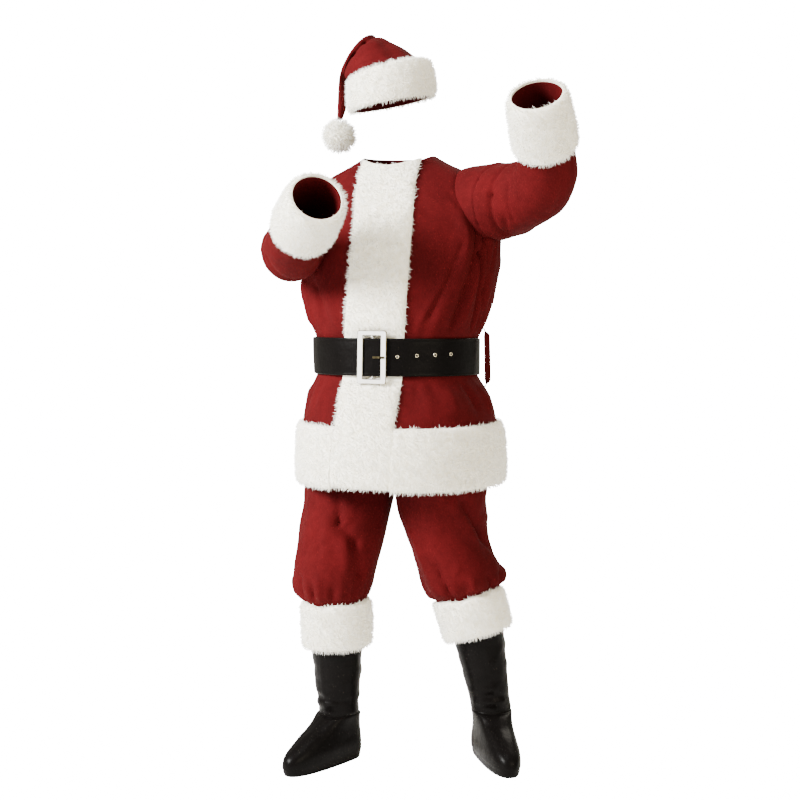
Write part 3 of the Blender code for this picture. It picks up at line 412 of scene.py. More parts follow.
def polishedMetal(part):
    colours = metalLook[part]
    made, nodes, links, shader, where = nodeMaterial(part + "Metal")
    scuff = noise(nodes, links, where, 60.0, 4.0, 0.6)
    links.new(ramp(nodes, links, scuff, [(0.3, colours[0]), (0.7, colours[1])]), shader.inputs["Base Color"])
    rough = nodes.new("ShaderNodeMapRange")
    rough.inputs["To Min"].default_value = 0.10
    rough.inputs["To Max"].default_value = 0.24
    links.new(scuff, rough.inputs["Value"])
    links.new(rough.outputs["Result"], shader.inputs["Roughness"])
    shader.inputs["Metallic"].default_value = metalLook["metallic"][part]
    fine = noise(nodes, links, where, 900.0, 1.0)
    links.new(bump(nodes, links, fine, 0.0001, 0.15), shader.inputs["Normal"])
    return made


redVelour = velour()
furBacking = whiteFur("furBacking", False)
furStrands = whiteFur("furStrands", True)
blackVinyl = vinyl("blackVinyl")
paintedHighlightMetal, paintedDarkReflectionMetal, eyeletMetal = (polishedMetal(part) for part in ("face", "edge", "eyelet"))
print("materials done")


# Fur pile, grown by Geometry Nodes on a surface

pileLook = {
    "density": 91000.0,   # strands a square metre
    "length": 0.0110,
    "width": 0.00095,
    "clump": 1.15,        # how far neighbouring strands lean together
    "clumpScale": 62.0,
    "jitter": 0.55,
    "droop": 0.28,
    "curl": 0.0030,
}


def pileTree():
    tree = bpy.data.node_groups.new("furPile", "GeometryNodeTree")
    face = tree.interface
    face.new_socket("Surface", in_out="INPUT", socket_type="NodeSocketGeometry")
    for label in ("Density", "Length", "Width", "Clump", "Clump Scale", "Jitter", "Droop", "Curl"):
        face.new_socket(label, in_out="INPUT", socket_type="NodeSocketFloat")
    face.new_socket("Seed", in_out="INPUT", socket_type="NodeSocketInt")
    face.new_socket("Material", in_out="INPUT", socket_type="NodeSocketMaterial")
    face.new_socket("Pile", in_out="OUTPUT", socket_type="NodeSocketGeometry")
    nodes, links = tree.nodes, tree.links
    given = nodes.new("NodeGroupInput").outputs
    out = nodes.new("NodeGroupOutput")

    def maths(how, *values):
        made = nodes.new("ShaderNodeMath")
        made.operation = how
        for socket, value in zip(made.inputs, values):
            if isinstance(value, bpy.types.NodeSocket):
                links.new(value, socket)
            else:
                socket.default_value = value
        return made.outputs[0]

    def vectorMaths(how, a, b=None, scale=None):
        made = nodes.new("ShaderNodeVectorMath")
        made.operation = how
        for socket, value in ((made.inputs[0], a), (made.inputs[1], b), (made.inputs[3], scale)):
            if isinstance(value, bpy.types.NodeSocket):
                links.new(value, socket)
            elif value is not None:
                socket.default_value = value
        return made.outputs[0]

    def centredNoise(position, scale, detail):
        made = nodes.new("ShaderNodeTexNoise")
        made.inputs["Detail"].default_value = detail
        links.new(position, made.inputs["Vector"])
        if isinstance(scale, bpy.types.NodeSocket):
            links.new(scale, made.inputs["Scale"])
        else:
            made.inputs["Scale"].default_value = scale
        return vectorMaths("SUBTRACT", made.outputs["Color"], (0.5, 0.5, 0.5))

    scatter = nodes.new("GeometryNodeDistributePointsOnFaces")
    links.new(given["Surface"], scatter.inputs["Mesh"])
    links.new(given["Density"], scatter.inputs["Density"])
    links.new(given["Seed"], scatter.inputs["Seed"])

    # one strand: a three-sided taper whose tip value runs from 0 to 1
    strand = nodes.new("GeometryNodeMeshCone")
    strand.fill_type = "NONE"
    strand.inputs["Vertices"].default_value = 3
    strand.inputs["Side Segments"].default_value = 2
    strand.inputs["Radius Top"].default_value = 0.0
    links.new(given["Width"], strand.inputs["Radius Bottom"])
    links.new(given["Length"], strand.inputs["Depth"])
    position = nodes.new("GeometryNodeInputPosition").outputs[0]
    split = nodes.new("ShaderNodeSeparateXYZ")
    links.new(position, split.inputs[0])
    mark = nodes.new("GeometryNodeStoreNamedAttribute")
    mark.inputs["Name"].default_value = "tip"
    links.new(strand.outputs["Mesh"], mark.inputs["Geometry"])
    links.new(maths("DIVIDE", split.outputs["Z"], given["Length"]), mark.inputs["Value"])

    # strands follow the surface, lean together in clumps and hang a little
    lean = maths("MULTIPLY", given["Clump"], 3.0)
    clump = vectorMaths("SCALE", centredNoise(position, given["Clump Scale"], 1.0), scale=lean)
    stray = nodes.new("FunctionNodeRandomValue")
    stray.data_type = "FLOAT_VECTOR"
    stray.inputs["Min"].default_value = (-1, -1, -1)
    stray.inputs["Max"].default_value = (1, 1, 1)
    links.new(given["Seed"], stray.inputs["Seed"])
    aim = vectorMaths("ADD", scatter.outputs["Normal"], clump)
    aim = vectorMaths("ADD", aim, vectorMaths("SCALE", stray.outputs[0], scale=given["Jitter"]))
    down = nodes.new("ShaderNodeCombineXYZ")
    links.new(maths("MULTIPLY", given["Droop"], -1.0), down.inputs["Z"])
    aim = vectorMaths("ADD", aim, down.outputs[0])
    # never back into the surface
    lift = nodes.new("ShaderNodeVectorMath")
    lift.operation = "DOT_PRODUCT"
    links.new(aim, lift.inputs[0])
    links.new(scatter.outputs["Normal"], lift.inputs[1])
    short = maths("MAXIMUM", maths("SUBTRACT", 0.55, lift.outputs["Value"]), 0.0)
    aim = vectorMaths("ADD", aim, vectorMaths("SCALE", scatter.outputs["Normal"], scale=short))
    turn = nodes.new("FunctionNodeAlignRotationToVector")
    turn.axis = "Z"
    links.new(aim, turn.inputs["Vector"])

    size = nodes.new("FunctionNodeRandomValue")
    size.data_type = "FLOAT"
    floats = [s for s in size.inputs if s.type == "VALUE" and s.enabled]
    floats[0].default_value = 0.72
    floats[1].default_value = 1.12
    onPoints = nodes.new("GeometryNodeInstanceOnPoints")
    links.new(scatter.outputs["Points"], onPoints.inputs["Points"])
    links.new(mark.outputs["Geometry"], onPoints.inputs["Instance"])
    links.new(turn.outputs["Rotation"], onPoints.inputs["Rotation"])
    links.new(next(s for s in size.outputs if s.type == "VALUE" and s.enabled), onPoints.inputs["Scale"])
    real = nodes.new("GeometryNodeRealizeInstances")
    links.new(onPoints.outputs[0], real.inputs[0])

    # tips curl
    tip = nodes.new("GeometryNodeInputNamedAttribute")
    tip.data_type = "FLOAT"
    tip.inputs["Name"].default_value = "tip"
    along = next(s for s in tip.outputs if s.type == "VALUE")
    bend = maths("MULTIPLY", maths("MULTIPLY", along, along), maths("MULTIPLY", given["Curl"], 2.0))
    move = nodes.new("GeometryNodeSetPosition")
    links.new(real.outputs[0], move.inputs["Geometry"])
    links.new(vectorMaths("SCALE", centredNoise(position, 150.0, 1.0), scale=bend), move.inputs["Offset"])
    soft = nodes.new("GeometryNodeSetShadeSmooth")
    links.new(move.outputs[0], soft.inputs[0])
    paint = nodes.new("GeometryNodeSetMaterial")
    links.new(soft.outputs[0], paint.inputs["Geometry"])
    links.new(given["Material"], paint.inputs["Material"])
    links.new(paint.outputs[0], out.inputs[0])
    return tree


furTree = pileTree()


def growPile(name, grid, closed, seed, material=None, **changes):
    look = {**pileLook, **changes}
    rows, cols = grid.shape[:2]
    surface = newPiece(name, grid.reshape(-1, 3), [stripFaces(rows, cols, closed)], None)
    return pileOn(surface, seed, look, material)


def pileOn(surface, seed, look, material=None):
    grow = surface.modifiers.new("pile", "NODES")
    grow.node_group = furTree
    values = {
        "Density": look["density"], "Length": look["length"], "Width": look["width"],
        "Clump": look["clump"], "Clump Scale": look["clumpScale"], "Jitter": look["jitter"],
        "Droop": look["droop"], "Curl": look["curl"], "Seed": seed, "Material": material or furStrands,
    }
    for item in furTree.interface.items_tree:
        if item.in_out == "INPUT" and item.name in values:
            grow[item.identifier] = values[item.name]
    return bake(surface)


def furAcross(low, high, at, thick=suit["furDepth"], edge=0.004):
    # fur's depth across a band: full in the middle and rounded down at both sides
    share = np.clip((at - low) / (high - low), 0.0, 1.0)
    return edge + (thick - edge) * (1 - np.abs(2 * share - 1) ** 5) ** 0.5


def furBand(name, node, grid, normals, depth, gap, closed, seed, flat, restsOn, held="laid", area=None,
            **changes):
    # a dense lumpy body on the cloth, and loose strands that reach to the fur's depth
    lumps = 0.0016 * softNoise(grid, 0.016, seed) + 0.0010 * softNoise(grid, 0.007, seed + 1)
    body = np.maximum(depth * suit["furBody"] + lumps * np.clip(depth / 0.012, 0.2, 1.0), gap + 0.0012)
    outer = grid + normals * body[..., None]
    inner = grid + normals * np.broadcast_to(gap, body.shape)[..., None]
    backing = place(shell(name + "_band", outer, inner, closed, furBacking), "white_fur", node)
    roots = grid + normals * (body - 0.0015)[..., None]
    pile = place(growPile(name + "_pile", roots, closed, seed, **changes), "white_fur")
    print(name, "fur done,", len(pile.data.polygons), "pile faces")
    return backing


# Coat

# height, x, half width, front, back, drop of the front edge
coatRings = np.array([
    (0.680, 0.005, 0.243, 0.238, 0.206, 0.000),
    (0.750, 0.005, 0.243, 0.238, 0.206, 0.000),
    (0.822, 0.002, 0.238, 0.228, 0.195, 0.000),
    (0.885, -0.001, 0.226, 0.208, 0.178, 0.000),
    (0.930, -0.005, 0.200, 0.192, 0.161, 0.000),
    (0.983, -0.007, 0.184, 0.184, 0.152, 0.000),
    (1.034, -0.004, 0.203, 0.186, 0.154, 0.000),
    (1.075, -0.005, 0.223, 0.186, 0.158, 0.000),
    (1.135, -0.003, 0.239, 0.176, 0.158, 0.000),
    (1.200, 0.002, 0.247, 0.164, 0.154, 0.000),
    (1.262, 0.006, 0.247, 0.152, 0.148, 0.000),
    (1.325, 0.003, 0.228, 0.138, 0.138, 0.004),
    (1.378, 0.000, 0.208, 0.121, 0.122, 0.009),
    (1.412, 0.000, 0.184, 0.105, 0.108, 0.014),
    (1.434, 0.000, 0.152, 0.094, 0.097, 0.019),
    (1.452, 0.000, 0.118, 0.085, 0.088, 0.025),
    (1.468, 0.000, 0.090, 0.078, 0.080, 0.030),
])
# angle, height, angle, height, half width, depth (outwards if positive)
coatFolds = [
    (52, 1.330, 42, 1.060, 0.024, 0.006), (64, 1.372, 53, 1.055, 0.011, -0.014),
    (66, 1.250, 61, 1.070, 0.009, 0.005), (72, 1.330, 65, 1.230, 0.009, -0.015),
    (65, 1.230, 75, 1.048, 0.009, -0.019), (71, 1.250, 83, 1.045, 0.007, -0.008),
    (81, 1.245, 76, 1.140, 0.008, -0.005), (76, 1.140, 92, 1.045, 0.008, -0.008),
    (103, 1.210, 98, 1.055, 0.016, 0.003), (120, 1.250, 116, 1.060, 0.018, -0.009),
    (146, 1.260, 142, 1.060, 0.022, 0.009), (180, 1.280, 178, 1.070, 0.024, -0.009),
    (214, 1.260, 217, 1.060, 0.022, 0.009), (238, 1.230, 240, 1.060, 0.018, -0.010),
    (262, 1.190, 265, 1.055, 0.016, 0.010), (283, 1.170, 290, 1.055, 0.014, -0.012),
    (300, 1.160, 309, 1.060, 0.015, 0.010), (318, 1.150, 326, 1.065, 0.014, -0.009),
    (330, 1.120, 336, 1.060, 0.012, 0.005), (28, 0.905, 27, 0.872, 0.020, -0.004),
    (50, 0.915, 52, 0.868, 0.020, 0.007), (66, 0.915, 71, 0.868, 0.014, -0.010),
    (84, 0.915, 88, 0.868, 0.018, 0.008), (112, 0.910, 114, 0.868, 0.022, -0.008),
    (150, 0.910, 150, 0.868, 0.026, 0.007), (185, 0.910, 184, 0.868, 0.024, -0.008),
    (222, 0.910, 221, 0.868, 0.026, 0.007), (256, 0.910, 254, 0.868, 0.020, -0.008),
    (282, 0.915, 279, 0.868, 0.020, 0.008), (306, 0.915, 304, 0.868, 0.016, -0.008),
    (326, 0.905, 325, 0.872, 0.018, 0.005),
]
coatLook = {
    "columns": {"front": 76, "back": 104},
    "rows": 124,
    "beltBottom": 0.938,
    "beltTop": 1.027,
    "gathers": 0.0020,
    "seamDip": 0.0014,
    "armholeRoll": 0.0010,
    "seamDipWide": 0.005,
    "armholeSwell": 0.026,  # how far from the seam the cloth swells into it
}
coatSmall = (
    smallFolds(3, 34, (34, 160), (1.07, 1.36), 1.0, 0.22, 0.45)
    + smallFolds(4, 34, (200, 326), (1.07, 1.36), 1.0, 0.22, 0.45)
    + smallFolds(5, 22, (150, 210), (1.07, 1.36), 1.0, 0.22, 0.5)
)
# wrinkles that the photograph shows between the placket and the armholes
coatCreases = [
    (338, 1.352, 322, 1.318, 0.007, -0.0035), (334, 1.376, 318, 1.352, 0.008, 0.0030),
    (26, 1.330, 44, 1.300, 0.008, -0.0035), (30, 1.372, 46, 1.345, 0.008, 0.0030),
    (47, 1.250, 36, 1.085, 0.007, -0.0050), (40, 1.190, 31, 1.075, 0.008, 0.0035),
    (318, 1.300, 330, 1.190, 0.009, -0.0035), (310, 1.250, 322, 1.130, 0.009, 0.0030),
]


def coatRing(ring, degrees, swell=0.0):
    height, x, halfWidth, front, back, dropped = ring
    angle = np.radians(degrees)
    depth = np.where(np.cos(angle) > 0, front, back)
    roundOut = 1 + 0.035 * np.sin(2 * angle) ** 2
    return np.stack(np.broadcast_arrays(
        x + (halfWidth * roundOut + swell) * np.sin(angle),
        -(depth * roundOut + swell) * np.cos(angle),
        height - dropped * np.maximum(0.0, np.cos(angle)) ** 2 - neckHeight,
    ), -1)


def beltHold(height):
    middle = (coatLook["beltBottom"] + coatLook["beltTop"]) / 2
    return 1 - np.exp(-((height - middle) / 0.076) ** 8)


def coatPoint(u, v, fine=True):
    ring = rowAt(coatRings, v)
    height = ring[0]
    swell = foldDepth(coatFolds, u, height, 0.22, 1.0) * beltHold(height)
    if fine:
        away = smooth((np.abs((u + 180) % 360 - 180) - 23) / 5)
        swell = swell + foldDepth(coatSmall + coatCreases, u, height, 0.22, 1.0) * beltHold(height) * away
        above, below = height - coatLook["beltTop"] - 0.003, coatLook["beltBottom"] - 0.003 - height
        swell = swell + coatLook["gathers"] * away * pleats(u, 21, 26, 60) * smooth(above / 0.02) * np.exp(
            -np.maximum(above, 0) / 0.045)
        swell = swell + coatLook["gathers"] * away * pleats(u, 22, 22, 50) * smooth(below / 0.02) * np.exp(
            -np.maximum(below, 0) / 0.035)
        for seam in (90, 270):
            off = np.radians((u - seam + 180) % 360 - 180) * 0.22
            swell = swell - coatLook["seamDip"] * np.exp(-(off / 0.004) ** 2)
    return coatRing(ring, u, swell)


# Sleeves

# x, y, height, tall, wide along each arm from inside the armhole to the wrist
leftArm = np.array([
    (0.105, 0.010, 1.334, 0.066, 0.064), (0.175, 0.002, 1.343, 0.092, 0.086),
    (0.250, -0.022, 1.352, 0.092, 0.088), (0.318, -0.064, 1.362, 0.083, 0.082),
    (0.376, -0.106, 1.378, 0.074, 0.074), (0.408, -0.146, 1.410, 0.067, 0.069),
    (0.416, -0.190, 1.460, 0.062, 0.064), (0.418, -0.240, 1.514, 0.058, 0.060),
    (0.420, -0.288, 1.568, 0.054, 0.056),
])
rightArm = np.array([
    (-0.105, 0.010, 1.345, 0.066, 0.064), (-0.170, -0.002, 1.338, 0.086, 0.084),
    (-0.206, -0.058, 1.300, 0.081, 0.078), (-0.218, -0.126, 1.256, 0.078, 0.076),
    (-0.206, -0.192, 1.236, 0.074, 0.073), (-0.176, -0.242, 1.250, 0.068, 0.069),
    (-0.140, -0.286, 1.279, 0.064, 0.065), (-0.098, -0.336, 1.315, 0.060, 0.061),
    (-0.056, -0.384, 1.350, 0.056, 0.057),
])
leftSleeveFolds = [
    (0, 2.60, 55, 2.28, 0.0050, -0.0050), (55, 2.28, 125, 2.02, 0.0050, -0.0050),
    (125, 2.02, 168, 1.90, 0.0070, -0.0050), (22, 3.25, 85, 2.90, 0.0060, -0.0070),
    (85, 2.90, 160, 2.50, 0.0070, -0.0110), (50, 2.62, 120, 2.28, 0.0120, 0.0030),
    (75, 3.80, 140, 3.35, 0.0050, -0.0040), (66, 4.70, 118, 4.10, 0.0050, -0.0035),
    (135, 3.10, 168, 2.60, 0.0060, -0.0050),
    (20, 2.45, 150, 2.05, 0.016, 0.003), (-30, 1.9, -150, 1.9, 0.014, -0.006),
    (-20, 3.1, -160, 2.7, 0.016, 0.005), (-40, 3.9, -150, 3.5, 0.010, -0.005),
]
rightSleeveFolds = [
    (20, 1.70, 160, 1.60, 0.010, -0.007), (-20, 2.2, -160, 2.0, 0.012, -0.008),
    (-30, 3.0, -140, 2.8, 0.014, 0.005), (60, 4.10, 150, 3.60, 0.008, -0.006),
    (75, 4.70, 160, 4.10, 0.008, -0.007), (95, 3.30, 175, 3.10, 0.012, 0.005),
]
sleeveLook = {
    "columns": 84,
    "rows": 124,
    "cuffStart": 6.05,
    "cuffEnd": 8.0,
    "rowShares": (0, 0.10, 0.72, 1),  # rows lie closer where the creases are
    "rowPlaces": (0, 1.3, 4.3),
    "seamDipWide": 0.006,
    "capGathers": 0.0004,
    "cuffGathers": 0.0020,
}


def tubePath(rows, firstUp):
    count = (len(rows) - 1) * 20
    x, y, height = rowAt(rows, np.arange(count + 1) / 20)[:3]
    centres = np.stack([x, y, height - neckHeight], -1)
    ups, up = [], np.array(firstUp, float)
    for k in range(count + 1):
        ahead = centres[min(k + 1, count)] - centres[max(k - 1, 0)]
        ahead = ahead / np.linalg.norm(ahead)
        up = up - ahead * up.dot(ahead)
        up = up / np.linalg.norm(up)
        ups.append(up)
    unit = np.linalg.norm(np.diff(centres, axis=0), axis=1).sum() / (len(rows) - 1)
    return centres, np.array(ups), unit


def sleevePoint(rows, path, folds, u, v, fine=True):
    centres, ups, unit = path
    count = len(centres) - 1
    u, v = np.broadcast_arrays(np.asarray(u, float), np.asarray(v, float))
    inside = np.clip(v, 0.0, len(rows) - 1.0)
    k = np.minimum((inside * 20).astype(int), count - 1)
    t = (inside * 20 - k)[..., None]
    ahead = centres[np.minimum(k + 2, count)] - centres[np.maximum(k - 1, 0)]
    ahead = ahead / np.linalg.norm(ahead, axis=-1, keepdims=True)
    centre = centres[k] * (1 - t) + centres[k + 1] * t + ahead * ((v - inside) * unit)[..., None]
    up = ups[k] * (1 - t) + ups[k + 1] * t
    up = up - ahead * (up * ahead).sum(-1, keepdims=True)
    up = up / np.linalg.norm(up, axis=-1, keepdims=True)
    side = np.cross(ahead, up)
    row = rowAt(rows, inside)
    tall, wide = row[3], row[4]
    swell = foldDepth(folds, u, v, (tall + wide) / 2, unit)
    if fine:
        cuff = sleeveLook["cuffStart"] - 0.05
        swell = swell + sleeveLook["cuffGathers"] * pleats(u, 31, 7, 20) * np.exp(
            -np.maximum(cuff - v, 0) / 0.55) * smooth((cuff - v) / 0.15)
        swell = swell + sleeveLook["capGathers"] * pleats(u, 32, 8, 22) * np.exp(-np.abs(v - 1.4) / 0.5)
        swell = swell - 0.0012 * np.exp(-(np.radians((u - 182 + 180) % 360 - 180) * wide / 0.004) ** 2)
    angle = np.radians(u)
    return (centre + up * ((tall + swell) * np.cos(angle))[..., None]
            + side * ((wide + swell) * np.sin(angle))[..., None])


arms = (
    # side, rows, folds, seed of the small folds
    ("left", leftArm, leftSleeveFolds, 41),
    ("right", rightArm, rightSleeveFolds, 42),
)
sleeves = {}
for side, rows, folds, seed in arms:
    path = tubePath(rows, (0, 0, 1))
    small = smallFolds(seed, 46, (0, 360), (1.6, 5.4), path[2], 0.075, 1.2, (0.03, 0.08), (0.0007, 0.0020))
    turns = np.arange(sleeveLook["columns"]) * 360 / sleeveLook["columns"]
    along = np.interp(np.linspace(0, 1, sleeveLook["rows"]), sleeveLook["rowShares"],
                      (*sleeveLook["rowPlaces"], sleeveLook["cuffEnd"] - 0.12))
    sleeves[side] = {
        "rows": rows, "path": path, "folds": folds + small, "along": along,
        "grid": sleevePoint(rows, path, folds + small, turns[None, :], along[:, None]),
    }

frontColumns, backColumns = coatLook["columns"]["front"], coatLook["columns"]["back"]
half = 0.04
coatTurns = {
    "coat_front_left": np.linspace(half, 90 - half, frontColumns),
    "coat_back": np.linspace(90 + half, 270 - half, backColumns),
    "coat_front_right": np.linspace(270 + half, 360 - half, frontColumns),
}
allTurns = np.concatenate(list(coatTurns.values()))
coatPlaces = placesAtHeights(coatRings, np.linspace(0.680, 1.468, coatLook["rows"]))
coatGrid = coatPoint(allTurns[None, :], coatPlaces[:, None])
coatOut = outwards(coatGrid, True)


def intoSeam(distance):
    # the coat swells towards the armhole seam and dips in at the stitches
    wide = coatLook["armholeSwell"]
    swell = wide / 7 * np.clip(1 - distance / wide, 0, 1) ** 2
    return coatLook["armholeRoll"] * np.exp(-(distance / coatLook["seamDipWide"]) ** 2) - swell


nearSleeve = np.minimum(*(distanceTo(coatGrid, sleeves[side]["grid"]) for side in sleeves))
roll = intoSeam(nearSleeve)
for side, sleeve in sleeves.items():
    near = distanceTo(sleeve["grid"], coatGrid)
    out = outwards(sleeve["grid"], True)
    dip = coatLook["armholeRoll"] * np.exp(-(near / sleeveLook["seamDipWide"]) ** 2)
    sleeve["grid"] = sleeve["grid"] - out * dip[..., None]
    sleeve["out"] = outwards(sleeve["grid"], True)
coatGrid = coatGrid - coatOut * roll[..., None]
coatOut = outwards(coatGrid, True)

armCutters = {}
for side, sleeve in sleeves.items():
    reach = sleeve["along"] < 4.5
    armCutters[side] = plug("armhole_" + side, (sleeve["grid"] + sleeve["out"] * suit["seamGap"])[reach])
bodyRows = coatPlaces > 6.8
bodyCutter = plug("coat_body", (coatGrid + coatOut * suit["seamGap"])[bodyRows])

start = 0
for name, turns in coatTurns.items():
    part = slice(start, start + len(turns))
    start += len(turns)
    outer = coatGrid[:, part]
    panel = shell(name + "_cloth", outer, outer - coatOut[:, part] * suit["clothThick"], False, redVelour)
    holes = [cutter for side, cutter in armCutters.items() if name.endswith(side) or name == "coat_back"]
    place(cutAway(panel, holes), "red_velour", name)
print("coat panels done")

for side, sleeve in sleeves.items():
    inner = sleeve["grid"] - sleeve["out"] * suit["clothThick"]
    made = shell("coat_sleeve_" + side + "_cloth", sleeve["grid"], inner, True, redVelour)
    place(cutAway(made, [bodyCutter], True), "red_velour", "coat_sleeve_" + side)
    cuffPlaces = np.linspace(sleeveLook["cuffStart"], sleeveLook["cuffEnd"], 26)
    turns = np.arange(54) * 360 / 54
    cuff = sleevePoint(sleeve["rows"], sleeve["path"], sleeve["folds"], turns[None, :], cuffPlaces[:, None],
                       False)
    depth = furAcross(cuffPlaces[0], cuffPlaces[-1], np.broadcast_to(cuffPlaces[:, None], cuff.shape[:2]))
    furBand("coat_cuff_" + side, "coat_cuff_fur_" + side, cuff, outwards(cuff, True), depth, 0.0006, True,
            60 if side == "left" else 61, (0.40, 0.12), [made.name])
drop([*armCutters.values(), bodyCutter])
print("sleeves done")


# The coat's fur: placket and hem

trimLook = {
    "placketHalf": 0.074,
    "placketSwing": ((0.680, -0.014), (0.822, -0.008), (0.983, -0.002), (1.100, 0.004), (1.300, 0.007),
                     (1.470, 0.0)),
    "crushed": 0.0045,
    "flatPile": 0.98,     # how crushed the fur is where its pile ends beside the belt
    "hemTop": 0.822,
}


def swingAt(height):
    marks = trimLook["placketSwing"]
    total = np.full(np.shape(height), marks[-1][1], float)
    for (low, a), (high, b) in reversed(list(zip(marks, marks[1:]))):
        total = np.where(height <= high, a + (b - a) * smooth((height - low) / (high - low)), total)
    return total


def anglesAcross(places, across):
    # angles on the coat's front at given distances from the middle, one row for each place
    ring = rowAt(coatRings, places)
    angles = np.linspace(-80, 80, 321)
    made = []
    for k in range(len(places)):
        xs = coatRing([column[k] for column in ring], angles)[:, 0]
        made.append(np.interp(swingAt(ring[0][k]) + across[k], xs, angles))
    return np.array(made)


def placketBand():
    look = trimLook
    places = placesAtHeights(coatRings, np.linspace(0.680, 1.4672, 120))
    across = np.linspace(-look["placketHalf"], look["placketHalf"], 27)
    turns = anglesAcross(places, np.broadcast_to(across, (len(places), len(across))))
    grid = coatPoint(turns, places[:, None], False)
    height = rowAt(coatRings, places)[0][:, None]
    middle = (coatLook["beltBottom"] + coatLook["beltTop"]) / 2
    crushed = np.exp(-((height - middle) / 0.072) ** 10)
    rounded = furAcross(-look["placketHalf"], look["placketHalf"], across)[None, :]
    # beside the hem the band keeps its depth to its edges, so that the two furs run together
    beside = smooth((look["hemTop"] - height) / 0.02) * np.where(across < 0, 0.95, 0.55)[None, :]
    rounded = rounded + (suit["furDepth"] - rounded) * beside
    full = rounded * np.minimum(1.0, (height - 0.680) / 0.012 + 0.3)
    depth = full * (1 - crushed) + np.minimum(full, look["crushed"]) * crushed
    gap = 0.0011 + 0.003 * np.clip((places[:, None] - 12.5) / 1.5, 0, 1)
    return grid, outwards(grid, False), depth, gap, crushed


def makeCoatFur():
    grid, out, depth, gap, crushed = placketBand()
    name = "coat_placket"
    lumps = 0.0016 * softNoise(grid, 0.016, 70) + 0.0010 * softNoise(grid, 0.007, 71)
    lumps = lumps * (1 - crushed) * np.clip(depth / 0.012, 0.2, 1)
    body = np.maximum(depth * suit["furBody"] + lumps, gap + 0.0012)
    backing = shell(name + "_band", grid + out * body[..., None], grid + out * np.broadcast_to(
        gap, body.shape)[..., None], False, furBacking)
    place(backing, "white_fur", "coat_placket_fur")
    # pile above and below the belt, which presses it flat between
    free = crushed[:, 0] < trimLook["flatPile"]
    rows = np.arange(len(free))
    roots = grid + out * (body - 0.0015)[..., None]
    breaks = np.where(np.diff(rows[free]) > 1)[0]
    first, second = np.split(rows[free], breaks + 1)
    for part, chosen in (("lower", first), ("upper", second)):
        place(growPile(f"{name}_pile_{part}", roots[chosen], False, 72), "white_fur")
    places = np.linspace(-0.12, float(placesAtHeights(coatRings, [trimLook["hemTop"]])[0]), 30)
    thick = suit["furDepth"] + 0.001
    for node, side, seed in (("coat_hem_fur_left", 1, 73), ("coat_hem_fur_right", -1, 74)):
        first = anglesAcross(places, np.full((len(places), 1), side * (trimLook["placketHalf"] + 0.0007)))
        shares = np.linspace(0, 1, 52)[None, :]
        turns = first + (side * (90 - 0.06) - first) * shares
        grid = coatPoint(turns, places[:, None], False)
        depth = furAcross(places[0], places[-1], np.broadcast_to(places[:, None], grid.shape[:2]), thick)
        furBand(node.replace("_fur", ""), node, grid, outwards(grid, False, side), depth, 0.0015, False, seed,
                (0.30, 0.155), ["coat_front_left_cloth" if side > 0 else "coat_front_right_cloth"])
    turns = np.linspace(90.06, 269.94, 104)
    grid = coatPoint(turns[None, :], places[:, None], False)
    depth = furAcross(places[0], places[-1], np.broadcast_to(places[:, None], grid.shape[:2]), thick)
    furBand("coat_hem_back", "coat_hem_fur_back", grid, outwards(grid, False), depth, 0.0015, False, 75,
            (0.72, 0.155), ["coat_back_cloth"])


makeCoatFur()


# Belt

beltLook = {
    "tailEnd": -62.0,
    "strapStart": 357.0,
    "lapEnd": 14.0,
    "thick": 0.003,
    "edgeLine": 0.0065,    # the pressed line runs this far in from both edges
    "edgeDip": 0.0009,
    "eyelets": ((18.6, 0.52), (31.0, 0.55), (43.5, 0.57), (55.5, 0.59)),
}


def beltPoint(u, v):
    bottom, top = coatLook["beltBottom"], coatLook["beltTop"]
    u, v = np.broadcast_arrays(np.asarray(u, float), np.asarray(v, float))
    angle = np.radians(u)
    fall = 0.010 * np.maximum(0.0, -np.cos(angle)) - 0.004 * np.maximum(0.0, np.cos(angle))
    turn = (u + 180) % 360 - 180
    overPlacket = 0.0052 * np.exp(-(turn / 31) ** 6)
    lap = smooth((beltLook["lapEnd"] + 22 - u) / 22) * (beltLook["thick"] + 0.0006)
    edges = []
    for height in (bottom - fall, top - fall):
        edge = coatRing(rowAt(coatRings, placesAtHeights(coatRings, height)), u, 0.0024 + overPlacket + lap)
        edge[..., 2] = height - neckHeight
        edges.append(edge)
    return edges[0] * (1 - v[..., None]) + edges[1] * v[..., None]


def strapAt(u, v, distance):
    u, v = np.broadcast_arrays(np.asarray(u, float), np.asarray(v, float))
    nearEnd = np.maximum(0.0, 1 - (u - beltLook["tailEnd"]) / 4.0)
    v = v + (0.5 - v) * 0.22 * nearEnd ** 2
    alongU = beltPoint(u + 0.5, v) - beltPoint(u - 0.5, v)
    alongV = beltPoint(u, v + 0.05) - beltPoint(u, v - 0.05)
    out = np.cross(alongU, alongV)
    out = out / np.linalg.norm(out, axis=-1, keepdims=True)
    return beltPoint(u, v) + out * np.asarray(distance)[..., None]


